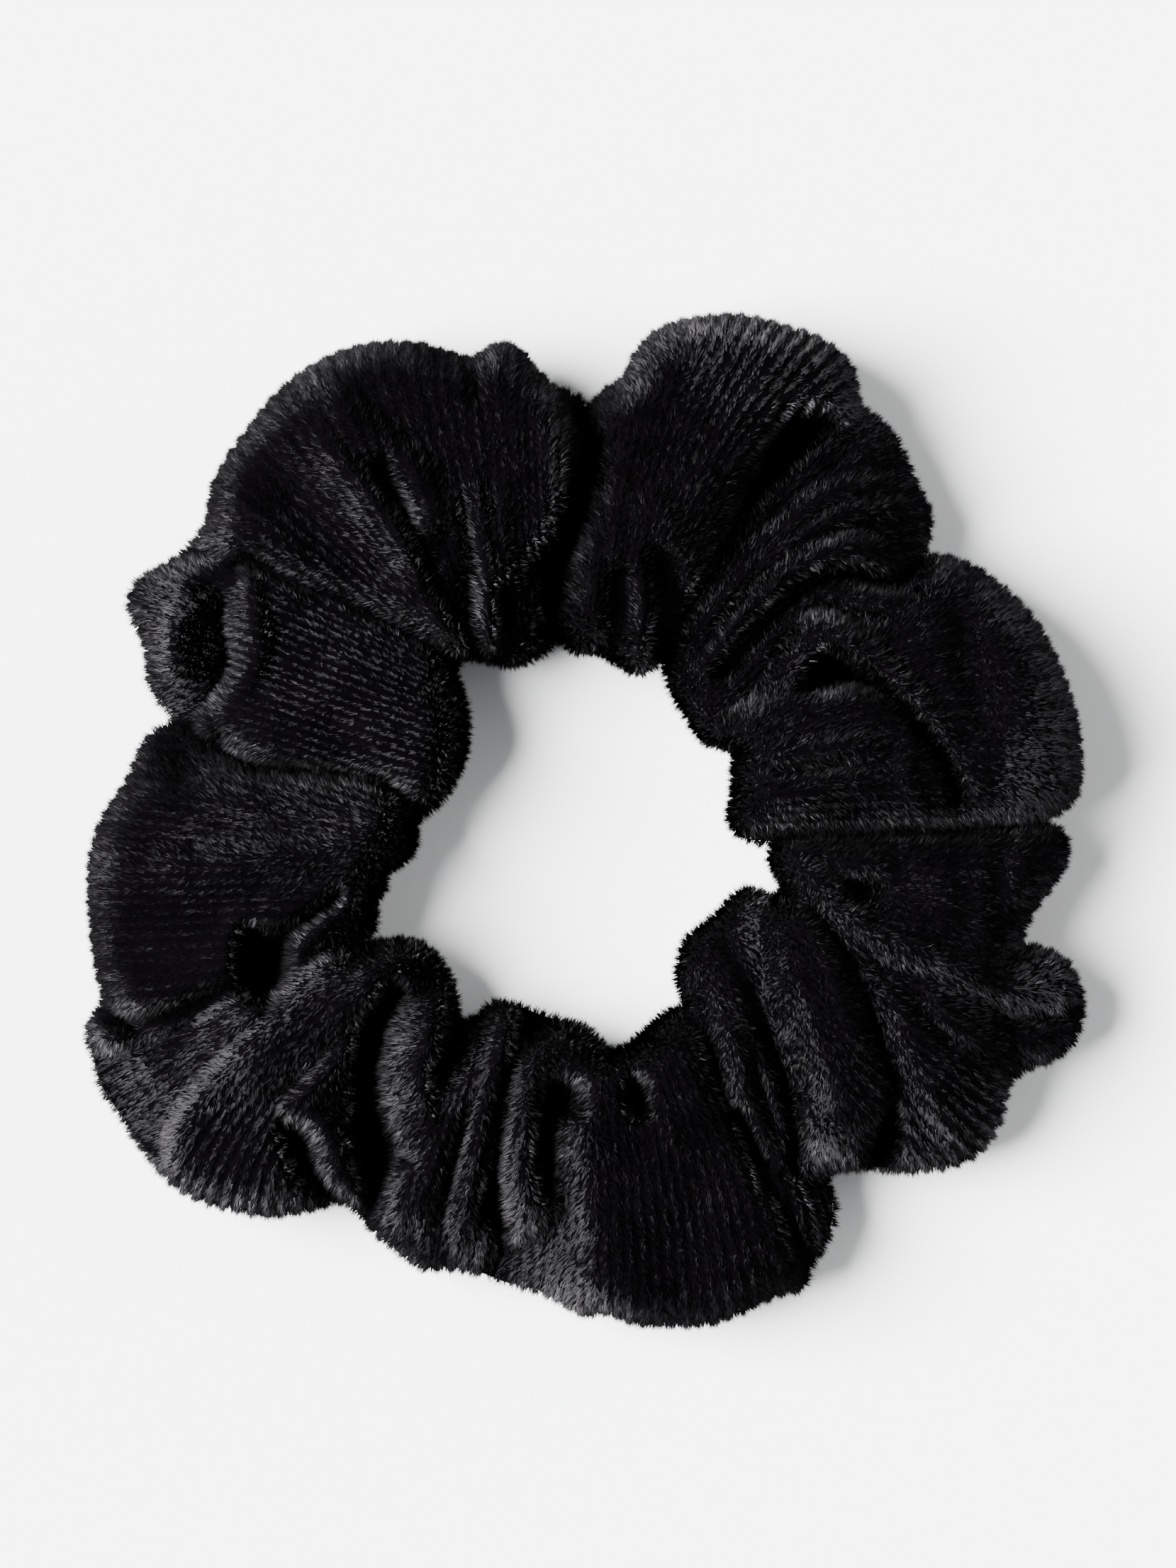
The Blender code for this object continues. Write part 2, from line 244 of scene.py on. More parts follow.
def fold_field():
    z = np.full(GX.shape, 7.0)

    # Base lobes, from the lowest to those lying over them.
    # C: the narrow folds between the two upper puffs
    pillow(z, [(25, 40), (29, 41), (32, 38), (34, 34), (36, 30), (35, 25), (33, 21), (27, 19), (20, 13),
               (14, 6), (9, 8), (6, 13), (8, 18), (12, 24), (16, 30), (19, 36)], 14, 8, 6)
    # D: the right puff
    pillow(z, [(33.3, 25.9), (35, 27), (38, 26.6), (41, 25), (45, 21), (48.5, 15), (50.5, 8), (50.5, 3),
               (48, 0.6), (44, -0.2), (38, -0.6), (30, -0.9), (22, -1.2), (16, -1.4), (13.5, 0),
               (13.5, 6.5), (11, 8), (13, 10), (16, 12), (19, 14.5), (21, 17.5), (23, 19.5), (26, 20.2),
               (30, 21), (32.5, 23)], 20.5, 8, 8)
    # E: the flap under it
    pillow(z, [(18, -2.3), (25, -1.4), (32, -1.1), (40, -0.9), (46.5, -0.5), (49, -1.5), (49, -4),
               (47.5, -6.5), (45.5, -9), (44.3, -12), (47, -12.5), (50, -15), (49, -17), (46, -18.6),
               (43.5, -19.6), (41, -19.4), (38, -17.6), (34, -15), (30, -13.3), (27, -12), (24.5, -9.5),
               (22, -7), (20.5, -7), (18, -6)], 18, 8, 6)
    # F: the fan of folds below the flap
    pillow(z, [(17, -6), (20, -7), (22, -7.5), (24.5, -10), (27, -12.4), (30, -13.7), (34, -15.4),
               (38, -18), (41, -19.8), (44, -20), (46.5, -19), (49.5, -17.5), (51, -20), (50, -23.5),
               (45, -26), (43.5, -28), (42, -33), (38, -35.5), (31, -36), (25, -36), (20, -40), (17, -36),
               (14, -30), (11, -24), (8, -18), (8, -13), (12, -9)], 13.5, 7, 6)
    # G: the flat dark panel at the bottom
    pillow(z, [(15.5, -29), (18, -34.5), (20.5, -38), (22.5, -43), (22.5, -47.5), (17.5, -49.5),
               (12, -51.5), (5, -51.5), (-3, -49), (-8, -47), (-8.5, -43), (-7.4, -40), (-8, -36),
               (-8, -31), (-7, -26), (-5.5, -22.5), (-3, -20.5), (1, -20.8), (3.5, -23), (6, -21.5),
               (9, -18.8), (11, -20), (14, -26)], 17, 8, 6.5)
    # H: the gathered folds left of it
    pillow(z, [(-7.6, -18), (-6.5, -20), (-7.6, -25), (-8.8, -31), (-9, -37), (-8.5, -42), (-8, -46),
               (-12, -46), (-17, -45.8), (-21, -42.5), (-23.5, -39), (-26, -34), (-25, -26), (-20, -20),
               (-17, -16), (-15, -12), (-12, -16), (-9.5, -17)], 11.5, 7, 5)
    # I: the flat fold and the ribbed lobe at the lower left
    pillow(z, [(-51, -18), (-49, -16), (-44, -20.6), (-38, -20), (-34, -18.5), (-30, -15), (-26, -12.5),
               (-22, -11), (-17, -11), (-13, -13.5), (-14.5, -17), (-17.2, -17), (-20, -20.5), (-22, -26),
               (-22.5, -31), (-22.5, -36), (-23.5, -39), (-31, -41), (-38, -39), (-43, -36), (-48, -29),
               (-51, -24)], 16.5, 8, 7)
    # J: the left puff
    pillow(z, [(-51, -19), (-51, -10), (-51, -4), (-49, 1), (-46, 6), (-43.5, 10), (-40, 9.6), (-36, 6.5),
               (-31, 4.6), (-25, 4.8), (-20, 4.2), (-16.8, 1), (-15.5, -1.5), (-17, -4.5), (-19, -6),
               (-20.3, -8.5), (-21, -12.2), (-25, -13.5), (-30, -17.5), (-35, -19.2), (-40, -20),
               (-44, -20.4), (-48, -18)], 19.5, 9, 8)
    # K: the hollow lobe and the ribbed panel beside it
    pillow(z, [(-41, 9.8), (-44, 12), (-45, 16), (-47, 22), (-46, 24.5), (-42, 26), (-36, 26.5), (-32, 24),
               (-31.5, 18), (-34, 12), (-38, 9.8)], 17, 8, 5)
    facet(z, [(-46.5, 24), (-43, 25), (-38, 24.6), (-34, 24.6), (-33.6, 23), (-37, 22.4), (-40.4, 20.6),
              (-41, 16), (-40.4, 12.6), (-42, 10.6), (-45, 13), (-45.6, 18)], (-43, 18, 13.5), (1.0, 0.1),
          0.9)
    valley(z, [(-36.2, 22.4, 14), (-35.4, 20.6, 11.5), (-34.8, 17.5, 10), (-35.4, 14.4, 9.5),
               (-37, 11.6, 9), (-38.8, 9.8, 8)], 1.0, 0.8, 9, 30, 0)
    pillow(z, [(-33, 26), (-35.4, 22), (-35, 15), (-37.4, 10.4), (-36, 8), (-31, 5.2), (-25, 4.6),
               (-20, 3.8), (-16, 0.5), (-13, 2), (-10.5, 6), (-10.5, 11), (-12, 17), (-14, 20), (-20, 23),
               (-27, 26)], 18.5, 8, 6.5, lean=(-0.08, 0.05))
    pillow(z, [(-44, 24.8), (-42, 27), (-39, 30), (-37, 31), (-35, 28), (-36, 25)], 13, 8, 3)
    # low piece between the two upper puffs
    pillow(z, [(-6, 38), (-4.5, 44), (-3, 45), (0, 43.5), (1, 41), (0.6, 36), (0.4, 30), (-1.5, 26),
               (-3, 30)], 12, 7, 3)
    # A: the big dome
    pillow(z, [(-38, 30), (-38.5, 34), (-36, 38), (-32, 43), (-27, 47), (-20, 49.5), (-13, 49), (-7, 49.5),
               (-4.8, 46.5), (-3.4, 43.4), (-2.5, 41.5), (-1.2, 38.5), (-0.8, 35.5), (-1.2, 33), (-2.5, 29),
               (-4.5, 26), (-5.5, 24), (-6.6, 19), (-7, 15), (-12.5, 14.5), (-13.7, 16.5), (-16, 18),
               (-20, 20), (-25, 22.3), (-30, 24), (-33, 25), (-36, 25.4), (-37.6, 27)], 23.5, 10, 11,
           lean=(0.02, 0.12))
    pillow(z, [(-13, 14.5), (-12, 20), (-9, 24), (-5.4, 24.5), (-4.2, 22), (-4, 19), (-2.5, 17.5), (-5, 15),
               (-9, 14)], 15.5, 7, 5)
    # B: the upper puff
    pillow(z, [(0.5, 40.5), (2, 43.5), (3.8, 46), (6, 50), (12, 52), (18, 51.5), (25, 49), (28, 45),
               (28, 42), (26.4, 39.4), (25.5, 38.4), (24.8, 39.6), (22.5, 40.6), (20, 39.5), (18, 37),
               (16.3, 34), (15.2, 31), (14.2, 28), (12.8, 25), (10.6, 21.6), (9.2, 18.5), (8.2, 15.5),
               (7, 13.5), (4, 13), (-1, 15.5), (-2.2, 18), (-1.8, 21), (-1, 25), (0.2, 29), (1.2, 34),
               (1, 38)], 22.5, 8, 9.5, edge=2.2)

    # A: relief of the dome
    valley(z, [(-12.2, 21, 8), (-12, 25, 12), (-14, 27.5, 16)], 1.3, 1, 2.4, 4, 0.5)
    hollow(z, [(-21.5, 36), (-20, 36.6), (-18, 33.5), (-16, 29), (-14, 26), (-13, 22), (-14.4, 21.4),
               (-16.4, 25), (-18.6, 30), (-21, 33.6)], 14, 3)
    swell(z, [(-33, 36.5), (-28.5, 31.5), (-24, 27.4), (-17.5, 22.4)], 5.0, -2.6)
    swell(z, [(-27, 40), (-22.6, 34.5), (-19.4, 30), (-15.4, 25)], 3.0, 1.9)
    swell(z, [(-26, 43), (-22, 39), (-19, 36.5), (-16.3, 34), (-15.2, 31), (-14, 27)], 2.4, 2.2)
    swell(z, [(-25.5, 38.6), (-22, 35.6), (-19.6, 32.6)], 1.2, -0.9)
    swell(z, [(-11, 34), (-10, 28.5), (-10.3, 22)], 1.5, 1.5)
    swell(z, [(-13, 34), (-12.8, 29), (-12, 25)], 1.1, 1.0)
    swell(z, [(-8.2, 34), (-8, 28), (-8.6, 23)], 1.0, 0.8)
    swell(z, [(-12, 33), (-11.5, 28), (-11, 22)], 0.9, -1.3)
    ridge(z, [(-10.6, 25, 17), (-10.2, 21, 16), (-9, 16.5, 13)], 1.3, 2.5)
    ridge(z, [(-5.8, 24.5, 16), (-6, 21, 16), (-7.2, 17, 14)], 1.5, 3)
    ridge(z, [(-13.8, 24, 15), (-13, 20, 15), (-12.6, 16, 13)], 1.2, 2.5)
    valley(z, [(-11.6, 24, 10), (-11.2, 20, 9), (-10.8, 16.5, 7)], 2.5)
    valley(z, [(-8, 23, 11), (-7.8, 20, 10), (-8.3, 16.5, 8)], 2.5)
    swell(z, [(-5.5, 44), (-4, 41), (-3, 38), (-2.7, 35), (-3.2, 31), (-5, 27)], 2.2, 1.2)
    swell(z, [(-12, 47), (-11, 44), (-10.4, 41)], 1.6, -2.0)
    # valley between the two upper puffs
    valley(z, [(0.3, 43, 4), (0.2, 38, 4), (0, 34, 4), (-1.6, 28.5, 4), (-3.2, 24.5, 4), (-3.4, 20, 4),
               (-2.6, 16, 4)], 7, 0.3, 0.9, 3, 0.6)

    # B: relief of the upper puff
    swell(z, [(0.9, 20), (0.9, 28), (2.2, 37)], 1.0, 0.8)
    swell(z, [(2.9, 19), (3, 28), (4, 37)], 1.0, 0.7)
    swell(z, [(5, 19), (5.2, 26), (6.2, 33)], 1.2, 0.6)
    swell(z, [(19, 48), (17, 42), (13, 35)], 3.2, 0.8)
    swell(z, [(6.8, 31.5), (8.5, 28.5), (9, 25.5)], 2.0, 1.3)
    valley(z, [(8, 25.5, 15), (8.5, 22, 12), (8.2, 18, 9), (7.6, 14, 6)], 1.6, 1, 2.2, 3, 0.4)
    valley(z, [(3.6, 24, 16), (3.6, 20, 12), (3.2, 16, 8)], 1.6, 1, 2.0, 3, 0.4)
    swell(z, [(26.5, 44), (24.5, 42), (21.5, 41), (18.5, 39), (16, 35), (14, 31)], 2.2, 1.4)

    # C: hollow under the upper puff and the narrow folds
    hollow(z, [(19, 39), (22.5, 40.6), (25, 40), (25.6, 38), (23, 35.6), (20.5, 32), (18, 29.5), (15.4, 27),
               (14.5, 28.5), (16.4, 33.5)], 6, 2.0)
    ridge(z, [(26, 39.5, 13), (24.2, 36.8, 15), (21, 33.2, 15), (18, 30.3, 15.5), (15.5, 27, 15.5),
              (12, 23.5, 15), (10, 20, 13)], 1.5, 3.5)
    ridge(z, [(33, 34, 11), (30, 33.4, 15), (25, 32.7, 17), (22, 31, 17.5), (20, 29, 17.5), (16, 26.2, 17),
              (12, 22.5, 16), (9.5, 18.5, 13)], 1.3, 3.5)
    ridge(z, [(35, 30, 11), (33, 30.6, 15), (29, 31.1, 16.5), (25, 30, 18), (21, 27.9, 18.5),
              (17, 25.2, 18), (12.5, 20.8, 16.5), (10, 17, 14)], 1.3, 3.5)
    ridge(z, [(30, 36.5, 13), (27, 35.5, 14.5), (24, 34.2, 15)], 1.3, 2.5)
    ridge(z, [(34.5, 27.5, 11), (31.5, 28.8, 14.5), (28, 28.9, 16)], 1.3, 2.5)
    ridge(z, [(31.5, 25, 16), (29, 26.3, 19), (26, 26.8, 20.5), (23, 25.8, 21), (20, 23.8, 20.5),
              (17, 21, 19), (14.5, 17.8, 17), (12.5, 14.8, 15), (11, 12, 12)], 1.9, 6)
    ridge(z, [(26, 23.6, 15), (23, 22.6, 16), (20, 20, 16), (17.4, 17, 15), (14.5, 13.5, 13)], 1.3, 3)
    ridge(z, [(12.4, 19, 15), (11, 16, 14), (10, 13.5, 12)], 1.2, 3)
    ridge(z, [(36.5, 19.2, 17), (33, 20.9, 17.5), (28, 22.1, 17.5), (24, 23, 16)], 1.5, 3.5)
    valley(z, [(32.5, 24.8, 9), (30, 23.8, 11), (27, 24.4, 13), (23, 24, 13), (20, 21.8, 12),
               (17, 18.8, 11), (14, 15, 9)], 2.5, 0.5, 1.7, 4)

    # D: crest, dark crescent and inner puff of the right puff
    ridge(z, [(23.2, 18.6, 20), (22, 17.6, 19), (20, 14.2, 17.5), (18, 12.2, 15.5), (15.5, 10.6, 13)], 1.5,
          4)
    ridge(z, [(22.6, 18.7, 20), (24.5, 18.6, 21), (27, 17.1, 22), (30, 14.6, 22), (33, 11.7, 22),
              (35.5, 9, 21), (37.2, 5.5, 20), (38.5, 2, 17), (39, 0, 13)], 1.9, 5)
    hollow(z, [(24.2, 17.4), (22.4, 15.4), (21.2, 12.6), (23, 12.2), (26, 12.6), (29, 12), (31.4, 10.4),
               (33.6, 7.6), (35.4, 4.6), (36.6, 1.4), (37.9, 1.4), (37.2, 4.4), (35.6, 7.6), (33.2, 10.6),
               (30.4, 13.4), (27, 16.2)], 6, 1.6, 0.3)
    pillow(z, [(13, 7), (16, 9.6), (19, 11.4), (22, 12.1), (25, 12.2), (28, 11.8), (30.8, 10.2), (33, 7.8),
               (35, 4.6), (36.3, 1.6), (37, -0.4), (30, -0.8), (22, -1.1), (15, -1.4), (13.5, 1)], 17.5, 9,
           5.5)
    swell(z, [(15, 9), (18, 7.2), (22, 6.8), (26, 7.6), (30, 6.4)], 1.7, 1.6)
    swell(z, [(31.3, 7.4), (32, 3.6), (33.8, 0)], 1.4, 1.3)
    swell(z, [(17, 3.6), (21, 2.6), (25, 3.9), (29, 3.9)], 1.6, 1.4)
    swell(z, [(16, 6), (20, 4.8), (25, 5.6), (29, 5)], 1.1, -1.4)
    swell(z, [(16, 1), (22, 0.2), (28, 1.6)], 1.0, -1.2)
    swell(z, [(41, 20), (42.5, 14), (43, 7)], 3.5, 0.9)
    swell(z, [(37, 22.5), (38, 16), (39.5, 10)], 2.4, -0.9)
    valley(z, [(15, -1.5, 4), (22, -1.4, 5), (30, -1, 6), (38, -0.7, 7), (46, -0.1, 5)], 6, 0.3, 0.8, 1.6,
           0.7)

    # E: relief of the flap
    facet(z, [(40.4, -15), (41.6, -12.4), (43.4, -11.4), (46, -12), (49.4, -14), (50, -17), (48, -19),
              (44, -19.6), (41, -18.8)], (44, -15, 13.2), (0.62, 0.3), 1.0)
    fold(z, [(21.6, -5.4, 15), (24.6, -8.2, 17.5), (27.4, -10.4, 18.6), (30.6, -11.8, 19),
             (34.6, -13.4, 19), (38, -14.9, 18.6), (41, -16.4, 17), (44, -17, 16), (47, -16, 14)], 3.2, 2.5,
         5.5)
    hollow(z, [(26.3, -5), (28.6, -5.2), (30, -6.6), (29.6, -8.4), (27.4, -8.6), (26, -7.2)], 13, 1.6)
    swell(z, [(25.2, -4.6), (27.6, -3.9), (30.2, -5)], 1.0, 1.0)
    swell(z, [(19.6, -4.6), (22.5, -5.8), (24.8, -8.2)], 1.7, 1.6)
    swell(z, [(22, -3.4), (25, -5), (27, -8.6)], 1.0, -1.3)
    swell(z, [(34, -3), (35.5, -8), (37, -13)], 2.4, 0.7)
    swell(z, [(41.5, -2), (41, -8), (42, -14)], 1.6, -1.0)
    swell(z, [(44, -1.2), (43.6, -7), (44.4, -14)], 1.4, 0.9)

    # F: fan of folds
    fold(z, [(37, -17.4, 14), (40, -22, 15.5), (43, -24.6, 13)], 3, 2, 2)
    fold(z, [(26.4, -12.8, 14), (30.2, -18.6, 17.5), (32.8, -23, 18.5), (34.6, -27, 18), (36.4, -31, 15),
             (37.4, -34, 12)], 2.6, 9.0, 4.5)
    swell(z, [(31.6, -16.4), (34, -19.6), (37.4, -22.6)], 1.6, -1.3)
    swell(z, [(34.6, -17.6), (37, -20.4), (40.4, -22.4)], 1.3, 1.0)
    fold(z, [(9.8, -14.2, 11), (11.8, -16, 13.5), (14, -19.4, 15.5), (15.4, -23.4, 16.6), (16, -27.2, 16.5),
             (17.4, -31, 15.5), (18.8, -35, 13)], 2.4, 1.4, 4.5)
    fold(z, [(12.6, -10.4, 12), (14.4, -13.6, 15), (16.2, -18, 16), (17.6, -22, 16), (18.8, -26, 15.5),
             (20, -31, 14)], 1.3, 1.2, 2.6)
    fold(z, [(11, -12, 11), (12.8, -14.6, 13.6), (15.2, -19, 15), (16.8, -23.6, 15)], 1.1, 1.1, 2)
    fold(z, [(17, -6.4, 13), (19.6, -9, 17), (21.2, -13, 19), (22.4, -18, 19.8), (24.2, -23, 19.8),
             (25.6, -27.4, 19), (26.2, -31, 17), (26.6, -34.4, 13)], 3.6, 7.5, 6)
    swell(z, [(21.8, -9.6), (24, -13.4), (25.6, -18), (27.2, -22.6)], 2.0, 1.0)
    ridge(z, [(22.8, -28.6, 16.5), (24.6, -31, 17.5), (25.2, -34, 13)], 2.6, 6)
    valley(z, [(13.6, -11.6, 9), (15.8, -16, 10), (18, -21.4, 10), (20.2, -26.6, 9), (21.2, -31, 8),
               (21, -34.6, 7)], 3.6, 0.5, 1.1, 2.4, 0.6)
    valley(z, [(22.4, -8.6, 9), (25.4, -12.6, 9), (27.6, -17, 11), (29.4, -22.4, 11), (31, -27, 10)], 2.6,
           0.5, 1.0, 1.6, 0.35)
    hollow(z, [(30.6, -27), (28.6, -30), (27.8, -33), (28.2, -35.6), (30.6, -35), (32, -31.6)], 7, 1.5)
    fold(z, [(24, -19.6, 17), (26.2, -23.6, 16.6), (28.8, -26.6, 15.5)], 1.2, 1.2, 1.2)
    ridge(z, [(41, -20.6, 13), (44, -22.2, 15), (47.6, -21.4, 14), (50, -19.4, 10)], 2.0, 4)

    # G: curled fold, dimples and panel
    swell(z, [(8, -30), (10, -38), (9, -46)], 7.5, -0.9)
    valley(z, [(15.6, -29, 10), (18, -34.4, 10), (20, -38, 10), (21, -41, 9), (22.6, -45, 7)], 2.4)
    ridge(z, [(18.8, -35.5, 14), (21, -37.6, 14.5), (22.4, -40.6, 13.5), (23, -44, 11)], 1.6, 4)
    ridge(z, [(23.4, -36.4, 11), (24, -39, 11.5), (23.6, -42, 10)], 1.4, 3)
    fold(z, [(3.8, -24.6, 13), (1.4, -23.2, 15), (-1.6, -22.6, 16.5), (-4, -24, 17.5), (-5.2, -27, 18.5),
             (-5.7, -31, 19), (-5.7, -35, 18.5), (-5.3, -38.4, 17), (-4.8, -41, 14.5)][::-1], 2.0, 2.3, 5.5)
    hollow(z, [(-4.6, -25.4), (-2.6, -24.6), (0.4, -25.6), (0.6, -29), (-0.8, -31), (-1.6, -34),
               (-2.6, -37.8), (-4, -38.2), (-5, -35), (-5, -30)], 11.5, 2.0)
    hollow(z, [(4.4, -24.8), (6, -25), (6.8, -27.4), (6.2, -30), (4.6, -29.6), (3.8, -27)], 9, 1.4)
    ridge(z, [(6.6, -23, 13), (7.6, -26, 16), (8.4, -29, 17), (9, -32, 17)], 1.3, 3.5)
    ridge(z, [(3.2, -24.6, 13), (2.8, -27, 15.5), (3.4, -30, 17)], 1.3, 3.5)
    ridge(z, [(9.4, -20.6, 12), (10.6, -24, 15), (11.6, -28, 16.5)], 1.2, 3.5)
    facet(z, [(-3, -30), (-0.4, -29), (0.9, -32), (1, -38), (0.8, -44), (0.6, -50), (-4, -49), (-9, -47.4),
              (-12, -46.4), (-8.6, -42.4), (-5.6, -40.6), (-3.4, -39), (-2.4, -35)], (-3, -42, 12.6),
          (1.05, 0.12), 0.9)

    # H: gathered folds
    fold(z, [(-7.9, -18.4, 13), (-8.2, -21.6, 15.5), (-8.9, -25, 16.5), (-10, -30, 16.5), (-11, -35, 16),
             (-12, -40, 14.5), (-13, -44, 11)], 2.2, 1.4, 4)
    fold(z, [(-8.8, -38, 12), (-10, -41.4, 13), (-11.4, -45, 10)], 1.8, 1.2, 2.5)
    ridge(z, [(-10.6, -19.6, 12), (-10.8, -23, 14), (-12.4, -26.8, 15.5), (-15, -28, 16),
              (-17.4, -29.4, 15)], 1.3, 4)
    hollow(z, [(-12, -20), (-10.9, -22), (-12, -25.4), (-14.4, -25.8), (-15.4, -23), (-14.4, -20)], 6, 1.6)
    fold(z, [(-13.2, -15, 13), (-13.8, -18, 16.5), (-15.4, -21.4, 18), (-16.4, -25, 18), (-15.6, -29, 17),
             (-14.8, -33, 15.5), (-15.4, -37, 14)], 4.4, 1.6, 6)
    fold(z, [(-9.6, -21.6, 13), (-10.4, -25, 15), (-12.6, -28.2, 16), (-14.2, -31.6, 16),
             (-15.2, -35, 15.5), (-16.8, -38.6, 14)], 3.0, 1.6, 4)
    ridge(z, [(-14, -30.6, 14), (-14.8, -35, 14), (-15.6, -40, 13), (-15.4, -44, 10)], 1.6, 4)
    ridge(z, [(-17, -35, 14.5), (-18.2, -39, 13.5), (-18.4, -42.6, 10)], 1.6, 4)
    valley(z, [(-7.6, -25, 10), (-8.7, -31, 9), (-8.9, -37, 9), (-8.2, -42, 7)], 3)

    # I: arch, flat fold and ribbed lobe
    facet(z, [(-50.5, -21.6), (-47, -22), (-44, -21.2), (-40, -20), (-36, -17.8), (-33, -16.6),
              (-31, -18.6), (-34, -22), (-37.4, -26), (-40, -30), (-41.6, -34), (-44.6, -32.6),
              (-47.6, -28.6), (-50, -24)], (-42, -25, 12), (0.72, 0.2), 1.0)
    fold(z, [(-14.4, -14.4, 13), (-16, -13.2, 16), (-18.6, -12.9, 18), (-21.6, -13.4, 19),
             (-25, -14.8, 19.5), (-28, -17.2, 19.5), (-31, -20.2, 19.5), (-34.2, -23.6, 19),
             (-37, -26.8, 18), (-39.4, -30, 16.5), (-40.6, -33.6, 14)][::-1], 1.0, 1.0, 0.1)
    fold(z, [(-40.4, -34, 12), (-38.6, -30, 15.5), (-36.2, -26.6, 17.5), (-33.4, -23.2, 19),
             (-30.2, -19.8, 19.8), (-27.2, -17, 20), (-24, -15, 19.8), (-20.6, -14, 19), (-17.6, -14, 17),
             (-15.2, -15.2, 14)][::-1], 3.0, 5.5, 4.2)
    swell(z, [(-18, -15.6), (-22, -18), (-25, -22), (-27, -26)], 3.2, 0.8)
    fold(z, [(-24, -22, 18.5), (-27.4, -26.4, 18.6), (-29.6, -28.4, 18), (-27.4, -29.2, 18),
             (-25.6, -31, 17.6), (-24.4, -34, 16), (-22.6, -38, 13)], 1.0, 1.8, 3.6)
    fold(z, [(-33.6, -24.4, 17.4), (-34.4, -27.4, 16.4), (-33.8, -31, 15.6), (-33, -35, 14)], 1.6, 3.4, 1.6)
    hollow(z, [(-30.4, -30), (-27.6, -29.8), (-26.2, -31.6), (-25.4, -34.4), (-24.2, -37.6), (-27, -37.4),
               (-29.4, -34.6)], 10, 1.6)
    valley(z, [(-50, -18.4, 6), (-46, -20, 8.5), (-42, -19.4, 10), (-38, -17.8, 10.5), (-35, -16.4, 9)], 4)
    fold(z, [(-49.6, -20.8, 9), (-46.6, -21.3, 12), (-43, -20.8, 14), (-39, -19.4, 15)], 0.8, 0.9, 1.8)
    valley(z, [(-18.8, -17, 8), (-20.4, -20.4, 6.5), (-21.4, -25, 6), (-20.8, -29.6, 6), (-19.8, -33, 6.5),
               (-20.8, -37.4, 7), (-22, -40, 6)], 3.4, 0.2, 1.9, 7, 0.6)
    valley(z, [(-21, -19.5, 8), (-22, -25, 7), (-22, -31, 7), (-21.6, -36, 7)], 3.4, 0.2, 1.4, 6, 0.6)

    # J: sheen band, pit and low lobe
    facet(z, [(-47, -5.6), (-40, -5.2), (-33, -4.8), (-27, -4.8), (-22, -3.6), (-19, -2.4), (-18, 0.6),
              (-20, 3), (-25, 3.8), (-30, 3.6), (-34, 1.4), (-39, -1.4), (-44, -3)], (-30, -1, 19.4),
          (0.1, -0.42), 2.6)
    swell(z, [(-44, -5), (-37, -4.6), (-30, -4.2), (-24, -3.6)], 3.2, 1.6)
    swell(z, [(-47, -12), (-40, -12), (-34, -9)], 4.5, -0.8)
    fold(z, [(-22.5, -5.6, 13), (-25, -6.8, 15), (-28.4, -8.6, 16.5), (-31.4, -11, 17), (-35, -14.6, 16),
             (-38.6, -17, 14)], 1.2, 2.4, 3)
    hollow(z, [(-33.6, -10), (-31, -10.2), (-28.6, -9.6), (-26, -7.6), (-24, -6.2), (-23.6, -7.4),
               (-26.4, -10), (-28.4, -12), (-28.8, -15), (-30, -17.6), (-33.4, -18.2), (-34.8, -15)], 6,
           1.8)
    pillow(z, [(-28.6, -12), (-27, -9.6), (-24, -7), (-21, -6.4), (-19.5, -8), (-20, -11), (-22, -13),
               (-25, -14.4), (-28, -15.6)], 13, 7, 3)
    ridge(z, [(-27.6, -13.6, 11), (-25, -11.6, 13), (-22, -9.6, 13), (-20.4, -8, 11)], 1.2, 3)
    swell(z, [(-24, -4.6), (-20, -3.6), (-17.6, -3)], 1.6, 0.9)

    # K: bright ridge, bowl
    ridge(z, [(-33, 25.4, 18), (-32.6, 21.4, 20.5), (-32.2, 17.4, 21), (-33.2, 14, 20), (-34.8, 11.4, 18),
              (-37, 9.6, 15)], 1.5, 5)
    swell(z, [(-29, 22), (-22, 19), (-14, 15)], 2.6, -1.0)
    swell(z, [(-30, 15), (-22, 12), (-13, 8)], 4.5, 0.8)
    valley(z, [(-41, 9.6, 6), (-37.6, 8.2, 10), (-33, 5.6, 13), (-28, 4.4, 13.5), (-22, 4.2, 12),
               (-18, 2.4, 10), (-15.4, 0.2, 7)], 3.5, 0.5, 0.9, 1.6, 0.6)
    valley(z, [(-43, 25.2, 8), (-39, 26.6, 9), (-37, 26.6, 9), (-33, 25.4, 10), (-28, 23.4, 11),
               (-22, 21, 11), (-17, 18.4, 10), (-13.4, 16, 8)], 5, 0.3, 0.9, 1.8, 0.7)
    return z


def value_noise(size, seed):
    """Smooth random relief, -1 to 1, about this many millimetres from bump to bump."""
    random = np.random.default_rng(seed)
    n = int(2 * EDGE / size) + 4
    grid = random.uniform(-1, 1, (n, n))
    t = (AXIS + EDGE) / size
    k = t.astype(int)
    f = t - k
    f = f * f * (3 - 2 * f)
    rows = grid[k] * (1 - f)[:, None] + grid[k + 1] * f[:, None]
    return rows[:, k] * (1 - f) + rows[:, k + 1] * f


def blur(z, times):
    for _ in range(times):
        z = (np.roll(z, 1, 0) + 2 * z + np.roll(z, -1, 0)) / 4
        z = (np.roll(z, 1, 1) + 2 * z + np.roll(z, -1, 1)) / 4
    return z


